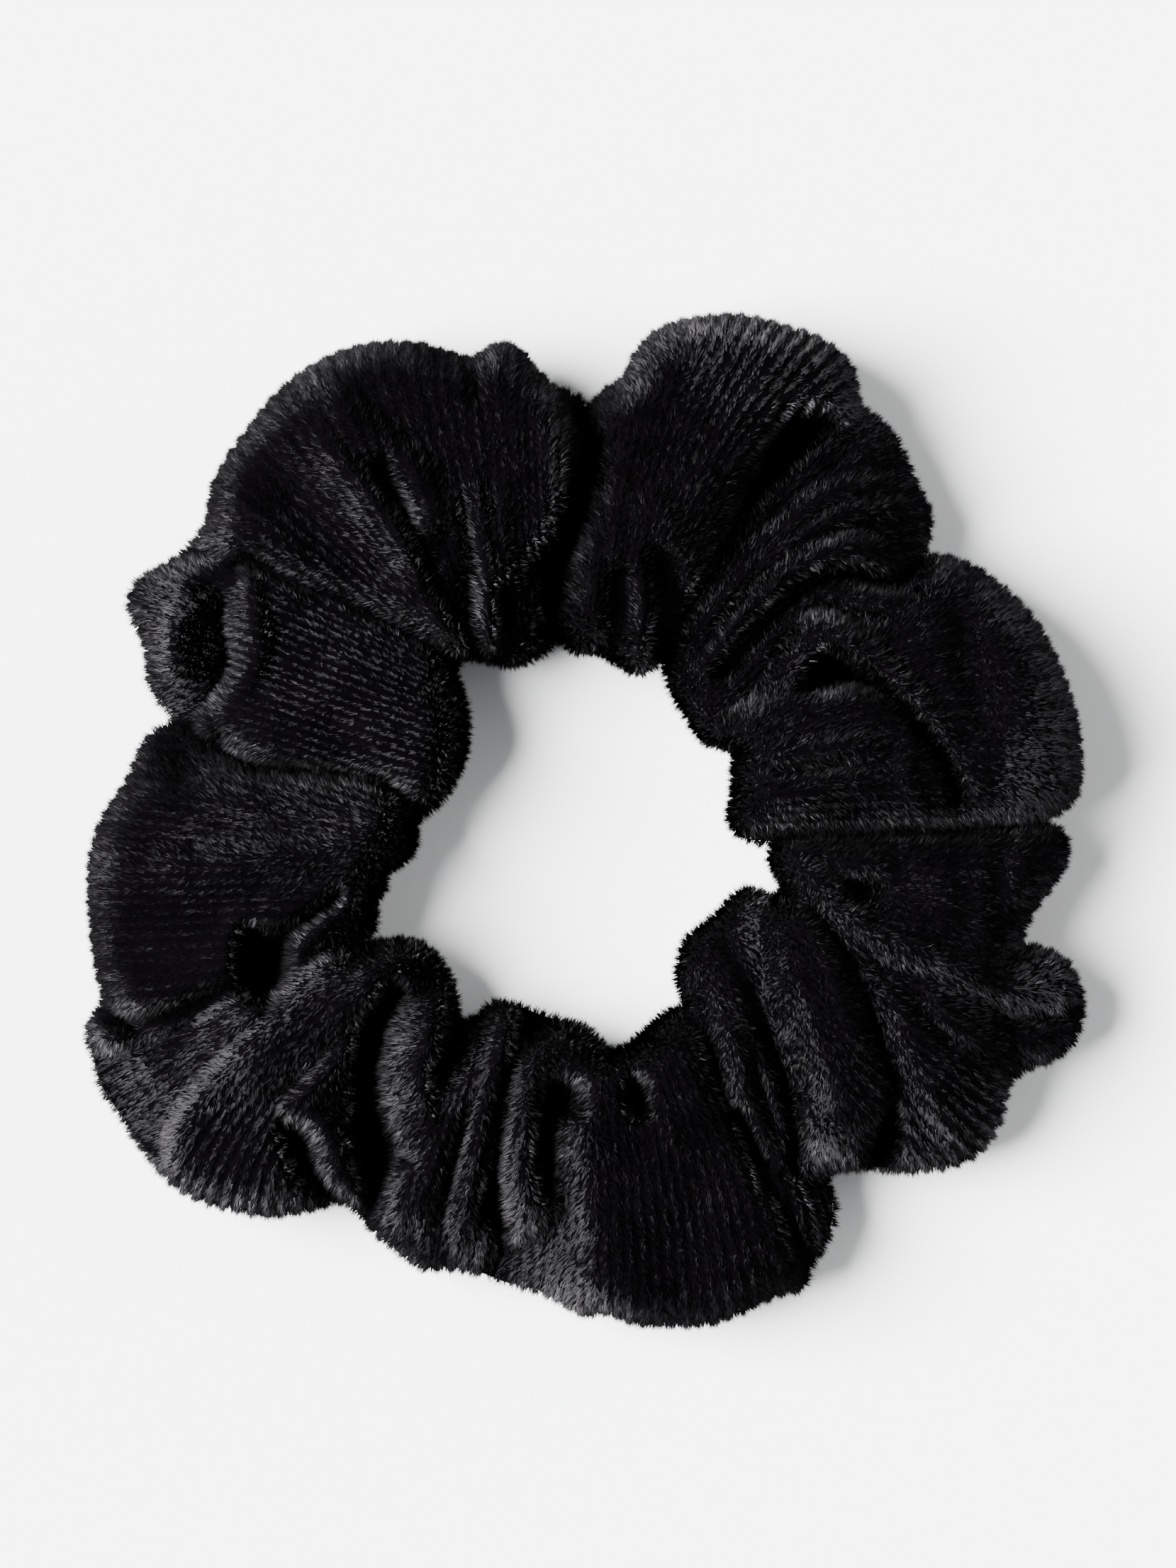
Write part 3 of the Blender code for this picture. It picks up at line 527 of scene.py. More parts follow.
# ---------------------------------------------------------------- sleeve
# Where the ribs run: each row is a point on the outer outline, one on the inner outline, and how far
# the rib bows aside halfway (mm), going clockwise from the big dome's left end.
RIBS = [((-37.5, 30), (-12.9, 15.3), (0, 0)), ((-33, 39.5), (-12.5, 16.2), (0, 0)), ((-24, 46.7),
                                                                                     (-10, 16.2), (-1, 0)),
        ((-13, 46.3), (-7.5, 15.7), (0, 0)), ((-6, 46.3), (-5, 16.3), (0, 0)), ((0.4, 41.3), (-2.3, 18),
                                                                                (0.5, 0)), ((7, 48.5),
                                                                                            (1, 17),
                                                                                            (-1, 0)),
        ((16, 50.2), (4.2, 15.4), (-2, 0)), ((24, 47.7), (6.4, 15.2), (-3, 1)), ((27.2, 42), (7.9, 16.8),
                                                                                 (-2, 2)), ((32, 36.5),
                                                                                            (8.3, 14),
                                                                                            (-2, 3)),
        ((33.4, 25.9), (10.5, 10), (-1, 3)), ((43, 22), (12.4, 7.9), (-1, 2)), ((48.5, 12), (15, 7),
                                                                                (0, 2)), ((49.5, 5),
                                                                                          (14.8, 3),
                                                                                          (0, 1)),
        ((45.5, 0), (15, -1), (0, 0)), ((48.2, -3.5), (18.5, -3.5), (0, 0)), ((43.4, -12.2), (19, -5),
                                                                              (0, 0)), ((49.2, -16),
                                                                                        (20, -6.5),
                                                                                        (-1, -1)),
        ((48.5, -22.5), (17, -6.8), (0, 0)), ((42.5, -26), (15.5, -7), (0, 0)), ((40.5, -32), (13.2, -9.4),
                                                                                 (1, 0)), ((31, -35),
                                                                                           (10.5, -11.5),
                                                                                           (1, 0)),
        ((24.2, -35.6), (9.3, -16), (2, 1)), ((22, -46.5), (9.4, -18.5), (2, 0)), ((12, -50.2), (6, -21),
                                                                                   (1, 0)), ((2, -49),
                                                                                             (2.4, -22.8),
                                                                                             (0, 0)),
        ((-8, -46.3), (-4, -19.3), (0, 0)), ((-16, -44.8), (-9, -18.2), (0, 0)), ((-22.5, -39.5),
                                                                                  (-12.4, -20), (0, 0)),
        ((-31, -39.3), (-13, -17), (-4, 1)), ((-41.5, -35.8), (-15.5, -12.8), (-3, 2)), ((-48.5, -26.5),
                                                                                         (-19, -12.1),
                                                                                         (0, 0)),
        ((-49.7, -21.5), (-21, -12.3), (0, 0)), ((-48, -18), (-22.9, -12.4), (0, -1)), ((-49, -11),
                                                                                        (-20.8, -10),
                                                                                        (0, 0)),
        ((-49.3, -5), (-19.7, -5), (0, 0)), ((-47.5, 1), (-17.2, -3), (0, 0)), ((-43, 9), (-16.8, 0),
                                                                                (0, 0)), ((-41, 10.1),
                                                                                          (-15, 1.6),
                                                                                          (0, 0)),
        ((-43.6, 16), (-12.2, 6), (0, 0)), ((-45.6, 22), (-11.7, 10), (0, 0)), ((-41, 26), (-12.3, 13),
                                                                                (0, 0))]
COLUMNS = 740          # along the cloth
UPPER_ROWS = 88        # across it, from the hole over the top to the outside
UNDER_ROWS = 40
WIDEST = 6.5           # height of the tube's widest line
ROLL_OVER = 4.4        # how far in from its outlines the cloth rises to its full height, on top
ROLL_UNDER = 5.5       # and below
BELLY = 0.75           # height of the underside's lowest pleats
RIB_PITCH = 1.06
PILE_ROOM = 0.18       # left for the pile between the cloth and the outlines
PLEATS = 118           # gathers pressed flat on the underside
UV_SCALE = (0.002, 0.005)   # of a rib and of a millimetre across the cloth
RING = (-0.683, -2.5)  # middle of the elastic loop
RING_RADIUS = 25


def sample_field(z, x, y):
    gx = np.clip((x + EDGE) / STEP, 0, len(AXIS) - 1.001)
    gy = np.clip((y + EDGE) / STEP, 0, len(AXIS) - 1.001)
    i, j = gx.astype(int), gy.astype(int)
    fx, fy = gx - i, gy - j
    return ((z[j, i] * (1 - fx) + z[j, i + 1] * fx) * (1 - fy)
            + (z[j + 1, i] * (1 - fx) + z[j + 1, i + 1] * fx) * fy)


def depth_in(paths, x, y):
    """Soft distance from the nearer of the outlines."""
    best = np.full(x.shape, 1e9)
    for path in paths:
        best = np.minimum(best, soft_depth(path, x, y))
    return best


def drawn_in(path, side):
    """The outline moved into the cloth by the room its pile takes."""
    way = np.roll(path, -2, 0) - np.roll(path, 2, 0)
    way /= np.maximum(np.linalg.norm(way, axis=1, keepdims=True), 1e-9)
    for _ in range(6):
        way = (np.roll(way, 1, 0) + way + np.roll(way, -1, 0)) / 3
    return path + side * PILE_ROOM * np.stack([way[:, 1], -way[:, 0]], 1)


def rib_layout():
    """For each column: its outer and inner end, its bow, and its rib number."""
    outer, inner = (drawn_in(smooth_path(p, True, 0.25), side) for p, side in ((OUTER, 1), (INNER, -1)))
    ends = []
    for path, which in ((outer, 0), (inner, 1)):
        length = np.concatenate([[0], np.cumsum(np.linalg.norm(np.roll(path, -1, 0) - path, axis=1))])
        at = [length[np.argmin(np.linalg.norm(path - row[which], axis=1))] for row in RIBS]
        for k in range(1, len(at)):
            while at[k] < at[k - 1]:
                at[k] += length[-1]
        ends.append((path, length, np.array(at + [at[0] + length[-1]])))
    bow = np.array([row[2] for row in RIBS] + [RIBS[0][2]], float)
    mean = 0.55 * np.diff(ends[0][2]) + 0.45 * np.diff(ends[1][2])
    travel = np.concatenate([[0], np.cumsum(mean)])
    s = np.arange(COLUMNS + 1) / COLUMNS * travel[-1]
    table = []
    for path, length, at in ends:
        where = np.interp(s, travel, at)
        drift = where - (at[0] + (at[-1] - at[0]) * s / travel[-1])
        for _ in range(24):
            core = drift[:-1]
            core = (np.roll(core, 1) + 2 * core + np.roll(core, -1)) / 4
            drift = np.append(core, core[0])
        where = at[0] + (at[-1] - at[0]) * s / travel[-1] + drift
        closed = np.vstack([path, path[:1]])
        where = where % length[-1]
        table.append(np.stack([np.interp(where, length, closed[:, c]) for c in (0, 1)], 1))
    bows = np.stack([np.interp(s, travel, bow[:, c]) for c in (0, 1)], 1)
    return table[0], table[1], bows, s / RIB_PITCH


def cloth_field():
    """The folds, a little uneven and high enough for the elastic, and how far each place lies below its
    surroundings (0 to 1), which sets the painted shade in the hollows.
    """
    field = fold_field()
    field += 0.35 * value_noise(7, 3) + 0.28 * value_noise(3.6, 5) + 0.12 * value_noise(2, 8)
    away = np.hypot(GX - RING[0], GY - RING[1])
    cover = 9.6 * np.clip((4.6 - np.abs(away - RING_RADIUS)) / 1.6, 0, 1)
    field = blur(highest(field, cover, 0.5), 3)
    # The second value marks low places, where the pile gets painted shade.
    return field, np.clip((blur(field, 70) - field - 0.8) / 2.6, 0, 1)


def sleeve_grid(field):
    """Vertices of the sleeve in mm, [column, row]; rows 0 to UPPER_ROWS lie on top, the rest below."""
    outer, inner, bows, ribs = rib_layout()
    k = np.arange(UPPER_ROWS + 1) / UPPER_ROWS
    t = 0.45 * k + 0.55 * (0.5 - 0.5 * np.cos(math.pi * k))
    outlines = [drawn_in(smooth_path(p, True, 0.5), side) for p, side in ((OUTER, 1), (INNER, -1))]

    def plan(t):
        t = t[None, :, None]
        return inner[:, None] * (1 - t) + outer[:, None] * t + bows[:, None] * 4 * t * (1 - t)

    top = plan(t)
    x, y = top[..., 0], top[..., 1]
    near = depth_in(outlines, x, y)
    near[:, 0] = near[:, -1] = 0
    r = np.clip(near / ROLL_OVER, 0, 1)
    z = WIDEST + (sample_field(field, x, y) - WIDEST) * (1 - (1 - r) ** 2.3) ** (1 / 2.3)
    top = np.dstack([x, y, z])

    k = np.arange(1, UNDER_ROWS) / UNDER_ROWS
    t = 1 - (0.5 * k + 0.5 * (0.5 - 0.5 * np.cos(math.pi * k)))
    under = plan(t)
    x, y = under[..., 0], under[..., 1]
    near = depth_in(outlines, x, y)
    r = np.clip(near / ROLL_UNDER, 0, 1)
    roll = np.sqrt(1 - (1 - r) ** 2)
    turn = 2 * math.pi * (ribs / ribs[-1] * PLEATS)[:, None]
    turn = turn + 0.9 * np.sin(turn / 7) + 0.5 * np.sin(3 * t[None] * 2 + turn / 23)
    away = np.hypot(x - RING[0], y - RING[1])
    tall = 2.9 - 1.5 * np.clip((5 - np.abs(away - RING_RADIUS)) / 2, 0, 1)
    pleat = tall * (0.5 + 0.5 * np.sin(turn)) * roll
    z = WIDEST * (1 - roll) + BELLY + pleat
    under = np.dstack([x, y, np.minimum(z, WIDEST)])
    grid = np.concatenate([top, under, top[:, :1]], 1)
    grid[-1] = grid[0]
    return grid, ribs


def grid_normals(grid):
    """Outward unit normals of the closed grid."""
    core = grid[:-1, :-1]
    along = np.roll(core, -1, 0) - np.roll(core, 1, 0)
    across = np.roll(core, -1, 1) - np.roll(core, 1, 1)
    n = np.cross(along, across)
    n /= np.maximum(np.linalg.norm(n, axis=2, keepdims=True), 1e-9)
    n = np.concatenate([n, n[:1]], 0)
    return np.concatenate([n, n[:, :1]], 1)


def mesh_from(name, points, faces):
    """A mesh object from points (metres) and equal-sided faces."""
    mesh = bpy.data.meshes.new(name)
    sides = faces.shape[1]
    mesh.vertices.add(len(points))
    mesh.vertices.foreach_set("co", np.ascontiguousarray(points, np.float32).ravel())
    mesh.loops.add(faces.size)
    mesh.loops.foreach_set("vertex_index", np.ascontiguousarray(faces, np.int32).ravel())
    mesh.polygons.add(len(faces))
    mesh.polygons.foreach_set("loop_start", np.arange(0, faces.size, sides, dtype=np.int32))
    mesh.update(calc_edges=True)
    mesh.polygons.foreach_set("use_smooth", np.ones(len(faces), bool))
    made = bpy.data.objects.new(name, mesh)
    bpy.context.scene.collection.objects.link(made)
    return made


def follow_stretch(obj):
    """Bakes the piece's placement into its points."""
    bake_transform(obj)


def build_sleeve(grid, ribs, finish):
    columns, rows = grid.shape[:2]
    index = np.arange(columns * rows).reshape(columns, rows)
    faces = np.stack([index[:-1, :-1], index[1:, :-1], index[1:, 1:], index[:-1, 1:]], -1).reshape(-1, 4)
    sleeve = mesh_from("velvet_sleeve", grid.reshape(-1, 3) * MM, faces)
    mesh = sleeve.data
    travelled = np.cumsum(np.linalg.norm(np.diff(grid, axis=1), axis=2), 1)
    around = np.concatenate([np.zeros((columns, 1)), travelled], 1)
    uv = np.stack([np.broadcast_to(ribs[:, None], (columns, rows)), around], -1).reshape(-1, 2)
    layer = mesh.uv_layers.new(name="Cloth")
    layer.data.foreach_set("uv", (uv[faces.ravel()] * UV_SCALE).astype(np.float32).ravel())
    mesh.materials.append(finish)
    return sleeve


# ---------------------------------------------------------------- pile
TUFTS = 290000
FIBRES_EACH = 4
TUFT_REACH = 0.07      # how far from its middle a tuft's fibres stand
FIBRE_LENGTH = (0.5, 1.05)
FIBRE_HALF = 0.038     # half a fibre's width at its root
FLAT_SHARE = 0.14      # how dense the pile is on the underside
DRIFT = (1.4, 1.7, 3.1)      # sizes of the patches in which tufts lean alike
RIB_HEIGHT = 0.26
ALWAYS_DARK = 0.24     # share of the fibres held dark in tone at random, whatever painted light falls there
MOST_BLADES = 190000   # in one piece
# Lighter and darker copies of one pile material, picked by tone, which is random tone plus painted light and
# shade: the darkest holds the painted shade of creases and hollows, the lightest two mostly painted light on
# slopes and strokes.
# Name, colour, sheen, and the tone up to which a fibre belongs to it.
TONES = [("pile_painted_shade", (0.0008, 0.00065, 0.00085), 0.004, 0.0),
         ("pile_deep", (0.00085, 0.0007, 0.0009), 0.008, 0.52),
         ("pile_mid", (0.0024, 0.00215, 0.00255), 0.025, 0.84),
         ("pile_light", (0.0085, 0.0081, 0.0090), 0.07, 1.12),
         ("pile_glint", (0.018, 0.0174, 0.0188), 0.12, 9.0)]
# Where the ribs show most: x, y, reach (mm), strength.
RIB_SHOW = [(-23, 12, 12, 1.0), (-28, 16, 8, 1.0), (-38, 17, 4, 0.8), (11, -40, 10, 0.66),
            (-34, -33, 8, 0.8), (-38, -10, 10, 0.75), (19, 43, 9, 0.85), (-25, 25, 9, 0.7), (2, 25, 6, 0.7),
            (-11, -32, 7, 0.7), (37, -30, 7, 0.8), (23, -39, 4, 0.8), (20, 2, 7, 0.7), (-10, 22, 6, 0.8)]
# Strokes of painted light (+) and painted shade (-) in the pile's tone: strength, half width, and x, y (mm).
PAINTED_STROKES = [(0.30, 8, (-30, 21), (-22, 15), (-14, 8)),
       (-0.75, 2.0, (-34.8, 24), (-34.4, 17), (-36.4, 11)),
       (-0.18, 3.0, (-43, 13), (-43.5, 18), (-44, 23)),
       (0.7, 3.4, (-38.4, 12.5), (-38.2, 20)),
       (0.07, 3.2, (-27, 37), (-22, 31), (-16, 25)),
       (-0.42, 3.2, (-37, 31), (-33, 38.5), (-27, 44), (-19, 46.5), (-12, 45.6)),
       (-0.12, 3, (-33, 31), (-27, 38), (-20, 42)),
       (0.18, 3.5, (-10, 30), (-9, 23), (-9, 17)),
       (0.55, 1.7, (-5, 44), (-2.4, 38), (-2.6, 31), (-4.6, 27)),
       (-0.6, 1.8, (2, 42), (1.6, 36), (0.8, 29), (-0.6, 23), (-1.4, 18)),
       (0.6, 6, (15, 46), (20, 44), (25, 44)),
       (-0.2, 4, (6, 46), (5, 40), (4, 32), (3, 24)),
       (0.16, 3.4, (9, 37), (8.4, 29)),
       (0.26, 1.6, (15, 10.6), (20, 14.4), (23, 18.6), (27, 17), (33, 11.7), (38.5, 2)),
       (0.62, 4, (44, 22), (47.4, 15), (46.2, 8), (44.4, 2)),
       (0.18, 2.4, (18, 8), (24, 7.6), (30, 6)),
       (0.06, 3, (38, 14), (41, 9), (42, 4)),
       (0.32, 1.8, (24, -9), (27, -11.5), (31, -13), (35, -15), (41, -18.4), (46, -18)),
       (0.8, 3, (45, -13), (46, -16)),
       (0.3, 2.2, (22, -5), (25, -8.5)),
       (-0.35, 1.3, (20, -2.2), (30, -2.1), (40, -1.9), (47, -1.7)),
       (-0.4, 1.6, (-38.4, 9.2), (-34.5, 6.6), (-30, 5.2)),
       (-0.46, 2.4, (-48.4, -17), (-48.8, -10), (-48.6, -3), (-46, 3), (-43, 8)),
       (1.0, 2.0, (16.7, -9), (18.5, -15), (20.1, -20), (22.1, -27), (24, -33)),
       (0.42, 1.3, (27.6, -15), (30.3, -20), (32.8, -25.6), (35, -31)),
       (0.24, 4, (34, -31), (40, -29)),
       (0.28, 1.5, (10.5, -15), (13.6, -19), (15, -26)),
       (0.46, 5, (-8, -44.6), (-4, -43), (-2, -46)),
       (0.42, 2.2, (-1, -30), (-1, -40)),
       (0.3, 1.8, (-3, -23), (-5.5, -28), (-5.6, -39)),
       (-0.06, 8, (8, -32), (9, -44)),
       (-0.4, 2.0, (4, -49.4), (10, -50), (17, -48), (21.6, -46)),
       (0.28, 2.4, (21, -37), (22.5, -42)),
       (0.12, 3.4, (-16, -17), (-17, -27)),
       (0.26, 1.8, (-17.5, -27), (-14, -28), (-11, -25)),
       (0.2, 1.8, (-8.6, -20), (-10, -30), (-12, -40)),
       (0.04, 3, (-16, -34), (-16, -42)),
       (0.5, 3.6, (-47.4, -25), (-44, -28.5)),
       (0.2, 4, (-44, -23), (-37, -21)),
       (0.2, 4, (-20, -15.6), (-25, -18.4), (-29, -23), (-33, -27)),
       (0.48, 1.6, (-14, -13), (-20, -12), (-25, -14), (-30, -18.6), (-35, -24), (-39, -29), (-41, -33)),
       (0.3, 1.2, (-34, -24), (-33.6, -28), (-29, -29.5)),
       (-0.1, 1.8, (-26.4, -31), (-24, -36)),
       (-0.3, 2, (-41, -36.6), (-36, -38.7), (-31, -39.4), (-26, -38.4)),
       (-0.25, 1.8, (-22, -40.6), (-17, -44.4), (-12, -45)),
       (0.2, 5, (-37, -30), (-31, -36)),
       (0.32, 4, (-40, -2), (-31, 0), (-20, 0)),
       (-0.22, 5.5, (-46, -12), (-38, -12)),
       (-0.2, 4, (-45, 1), (-38, 4)),
       (-0.6, 1.4, (-26, -8.4), (-30, -11), (-29, -14), (-31, -18))]


def painted_stroke_lift():
    """How the strokes of painted light and shade change the tone, over the whole plan."""
    lift = np.zeros(GX.shape)
    for strength, half, *points in PAINTED_STROKES:
        path = smooth_path(points, False, 1.0)
        w = window(path, half * 1.6)
        d, _, _ = nearest(path, GX[w], GY[w])
        lift[w] += strength * np.exp(-(d / half) ** 4)
    return lift


def rib_strength(x, y):
    """How clearly the ribs show there, 0 to 1."""
    total = np.full(x.shape, 0.45)
    for a, b, reach, strength in RIB_SHOW:
        near = ((x - a) ** 2 + (y - b) ** 2) / (1.1 * reach * reach)
        total = np.maximum(total, strength * np.exp(-near ** 2))
    return total


def unit(v):
    return v / np.maximum(np.linalg.norm(v, axis=-1, keepdims=True), 1e-9)


def stand_tufts(grid, normals, ribs, random):
    """Each tuft's root, normal, way along the rib, height on the rib (0 to 1), rib strength and rib phase."""
    a, b, c = grid[:-1, :-1], grid[1:, :-1], grid[:-1, 1:]
    area = np.linalg.norm(np.cross(b - a, c - a), axis=2)
    below = np.arange(area.shape[1]) >= UPPER_ROWS
    area = area * np.where(below & (normals[:-1, :-1, 2] < -0.35), FLAT_SHARE, 1.0)
    share = np.cumsum(area.ravel())
    pick = np.searchsorted(share, random.uniform(0, share[-1], TUFTS * 2))
    i, j = pick // area.shape[1], pick % area.shape[1]
    fu, fv = random.uniform(0, 1, (2, len(pick)))

    def lerp(values):
        fa, fb = fu[:, None], fv[:, None]
        return ((values[i, j] * (1 - fa) + values[i + 1, j] * fa) * (1 - fb)
                + (values[i, j + 1] * (1 - fa) + values[i + 1, j + 1] * fa) * fb)

    root, normal = lerp(grid), unit(lerp(normals))
    phase = (ribs[i] + (ribs[i + 1] - ribs[i]) * fu) % 1.0
    crest = 0.5 + 0.5 * np.cos(2 * math.pi * phase)
    show = rib_strength(root[:, 0], root[:, 1])
    keep = np.nonzero(random.uniform(0, 1, len(pick)) < 1 - show * (1 - crest) ** 0.6)[0][:TUFTS]
    root, normal, crest, show, phase, i, j = (v[keep] for v in (root, normal, crest, show, phase, i, j))
    return root, normal, unit(grid[i, j + 1] - grid[i, j]), crest, show, phase


def tuft_tone_and_painted_light(root, normal, crest, show, near, low):
    """How much lighter (+) or darker (-) each tuft's tone is: painted light on slopes facing the window lamp,
    painted light and shade on the ribs and along the painted strokes, painted shade in the creases and
    hollows, and random patches.
    """
    place = root[:, 0], root[:, 1]
    up = np.clip(normal[:, 2] + 0.4, 0, 1)
    # Painted light: slopes are lighter, most where they face the window lamp (towards -x), less low down near
    # the floor.
    steep = np.clip(1.1 * (1 - normal[:, 2]), 0, 0.5) * np.clip(2.2 * normal[:, 2] + 0.1, 0.4, 1)
    steep *= np.clip((root[:, 2] - 7.5) / 5, 0.1, 1)
    lift = steep * np.clip(0.45 - 1.0 * normal[:, 0] - 0.2 * normal[:, 1], 0.05, 1.3)
    lift += 0.14 * near[0] + 0.07 * near[2] - 0.12
    # Painted light and shade on the ribs, crests lighter and grooves darker, then the strokes of painted
    # light and shade.
    on_rib = np.clip(show - 0.35, 0, 1) * (0.62 * np.clip(3.2 * crest - 1.4, -1, 1) - 0.08)
    lift += on_rib + sample_field(painted_stroke_lift(), *place) * up
    # Painted shade in the hollows and creases, weaker on slopes facing the lamp.
    sunk = sample_field(low, *place) * np.clip(1 + 1.3 * normal[:, 0], 0.15, 1)
    return lift - np.maximum(0.6 * sunk, 0.9 * sample_field(CREASE_SHADE, *place)) * up


def lay_fibres(grid, normals, ribs, low, seed):
    """Roots, tips, facings and tones of the fibres, in mm: tufts of a few, in rows along the ribs; each tone
    is random tone plus painted light and shade.
    """
    random = np.random.default_rng(seed)
    root, normal, grain, crest, show, phase = stand_tufts(grid, normals, ribs, random)
    side = np.cross(normal, grain)
    n = len(root)
    near = [sample_field(value_noise(size, seed + k), root[:, 0], root[:, 1])
            for k, size in enumerate(DRIFT)]
    loose = 1 - 0.75 * show
    lean = 1.15 + loose * (0.5 * near[0] + 0.4 * near[2]) + random.normal(0, 0.35, n)
    lean *= 0.35 + 0.65 * np.clip(normal[:, 2] * 1.3, 0, 1)
    sway = loose * (0.6 * near[1] + random.normal(0, 0.3, n)) + random.normal(0, 0.1, n)
    way = unit(normal + grain * lean[:, None] + side * sway[:, None])
    long = random.uniform(*FIBRE_LENGTH, n) * (1 - 0.22 * show)
    long *= 1 + 0.35 * np.clip(1 - 2.5 * np.abs(normal[:, 2]), 0, 1)
    root = root + normal * (RIB_HEIGHT * crest * show - 0.05)[:, None]
    facing = unit(normal + side * (0.55 * show * np.sin(2 * math.pi * phase))[:, None] + 0.2 * way
                  + random.normal(0, 0.14, (n, 3)))
    even = np.clip((show - 0.6) / 0.4, 0, 1)
    tone = random.uniform(0, 1, n) * (1 - 0.45 * even) + 0.2 * even
    # Painted light and shade for each tuft, added to its fibres' tone below.
    lift = tuft_tone_and_painted_light(root, normal, crest, show, near, low)

    f = FIBRES_EACH
    root, normal, way, facing = (np.repeat(v, f, axis=0) for v in (root, normal, way, facing))
    long, tone = np.repeat(long, f), np.repeat(tone, f)
    off = random.normal(0, TUFT_REACH, (n * f, 3))
    off -= normal * (off * normal).sum(1, keepdims=True)
    tip = root + off * 0.55 + way * (long * random.uniform(0.7, 1.08, n * f))[:, None]
    tip += random.normal(0, 0.05, (n * f, 3))
    tip[:, 2] = np.maximum(tip[:, 2], 0.03)
    loose = random.uniform(0, 1, n * f) < np.repeat(0.45 - 0.25 * np.clip(show, 0, 1), f)
    tone = np.where(loose, random.uniform(0, 1, n * f), tone) + np.repeat(lift, f)
    tone = np.where((random.uniform(0, 1, n * f) < ALWAYS_DARK) & (tone > 0.3), 0.3, tone)
    return root + off, tip, unit(facing + random.normal(0, 0.08, (n * f, 3))), tone


def fibre_piece(name, root, tip, facing, turned, finish):
    """Thin blades that lie along the cloth, one triangle each, which shade like the cloth beneath them."""
    way = unit(tip - root)
    across = unit(np.cross(way, facing))
    lifted = np.cross(way, across)
    across = across * np.cos(turned)[:, None] + lifted * np.sin(turned)[:, None]
    points = np.stack([root - FIBRE_HALF * across, root + FIBRE_HALF * across, tip], 1).reshape(-1, 3)
    points[:, 2] = np.maximum(points[:, 2], 0.02)
    made = mesh_from(name, points * MM, np.arange(len(root) * 3).reshape(-1, 3))
    made.data.normals_split_custom_set_from_vertices(np.repeat(facing, 3, axis=0))
    made.data.materials.append(finish)
    return made


# ---------------------------------------------------------------- materials
def new_material(name):
    made = bpy.data.materials.new(name)
    made.use_nodes = True
    tree = made.node_tree
    return made, tree, tree.nodes["Principled BSDF"]


def add(tree, kind, inputs=(), **settings):
    node = tree.nodes.new(kind)
    for key, value in settings.items():
        setattr(node, key, value)
    for key, value in dict(inputs).items():
        if isinstance(value, bpy.types.NodeSocket):
            tree.links.new(value, node.inputs[key])
        else:
            node.inputs[key].default_value = value
    return node


def velvet_cloth():
    """The knit under the pile: near black, ribbed, a little uneven."""
    made, tree, shader = new_material("velvet_cloth")
    cloth = add(tree, "ShaderNodeUVMap", uv_map="Cloth")
    place = add(tree, "ShaderNodeSeparateXYZ", {0: cloth.outputs[0]})
    turn = add(tree, "ShaderNodeMath", {0: place.outputs[0], 1: 2 * math.pi / UV_SCALE[0]},
               operation="MULTIPLY")
    wave = add(tree, "ShaderNodeMath", {0: turn.outputs[0]}, operation="COSINE")
    where = add(tree, "ShaderNodeTexCoord")
    cloud = add(tree, "ShaderNodeTexNoise", {"Vector": where.outputs["Object"], "Scale": 260.0,
                                             "Detail": 4.0})
    fine = add(tree, "ShaderNodeTexNoise", {"Vector": where.outputs["Object"], "Scale": 2600.0,
                                            "Detail": 2.0})
    both = add(tree, "ShaderNodeMath", {0: wave.outputs[0], 1: 0.25, 2: fine.outputs[0]},
               operation="MULTIPLY_ADD")
    mix = add(tree, "ShaderNodeMath", {0: both.outputs[0], 1: 0.5, 2: cloud.outputs[0]},
              operation="MULTIPLY_ADD")
    ramp = add(tree, "ShaderNodeValToRGB", {0: mix.outputs[0]})
    ramp.color_ramp.elements[0].position, ramp.color_ramp.elements[1].position = 0.35, 1.0
    ramp.color_ramp.elements[0].color = (0.0004, 0.0003, 0.0004, 1)
    ramp.color_ramp.elements[1].color = (0.0012, 0.0010, 0.0013, 1)
    tree.links.new(ramp.outputs[0], shader.inputs["Base Color"])
    bump = add(tree, "ShaderNodeBump", {"Height": both.outputs[0], "Strength": 0.6, "Distance": 0.00022})
    tree.links.new(bump.outputs[0], shader.inputs["Normal"])
    shader.inputs["Roughness"].default_value = 0.9
    shader.inputs["Specular IOR Level"].default_value = 0.0
    shader.inputs["Sheen Weight"].default_value = 0.02
    shader.inputs["Sheen Roughness"].default_value = 0.4
    shader.inputs["Sheen Tint"].default_value = (0.55, 0.58, 0.60, 1)
    return made


def plain(name, colour, roughness, specular, sheen=0.0):
    made, _, shader = new_material(name)
    shader.inputs["Base Color"].default_value = (*colour, 1)
    shader.inputs["Roughness"].default_value = roughness
    shader.inputs["Specular IOR Level"].default_value = specular
    shader.inputs["Sheen Weight"].default_value = sheen
    shader.inputs["Sheen Roughness"].default_value = 0.5
    shader.inputs["Sheen Tint"].default_value = (0.97, 0.93, 1.0, 1)
    return made


# ---------------------------------------------------------------- build
field, low = cloth_field()
grid, ribs = sleeve_grid(field)
normals = grid_normals(grid)
sleeve = build_sleeve(grid, ribs, velvet_cloth())
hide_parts("sleeve_left", "sleeve_right")
follow_stretch(sleeve)

root, tip, facing, tone = lay_fibres(grid, normals, ribs, low, 21)
turned = np.random.default_rng(4).normal(0, 0.45, len(root))
start, pile = -9.0, []
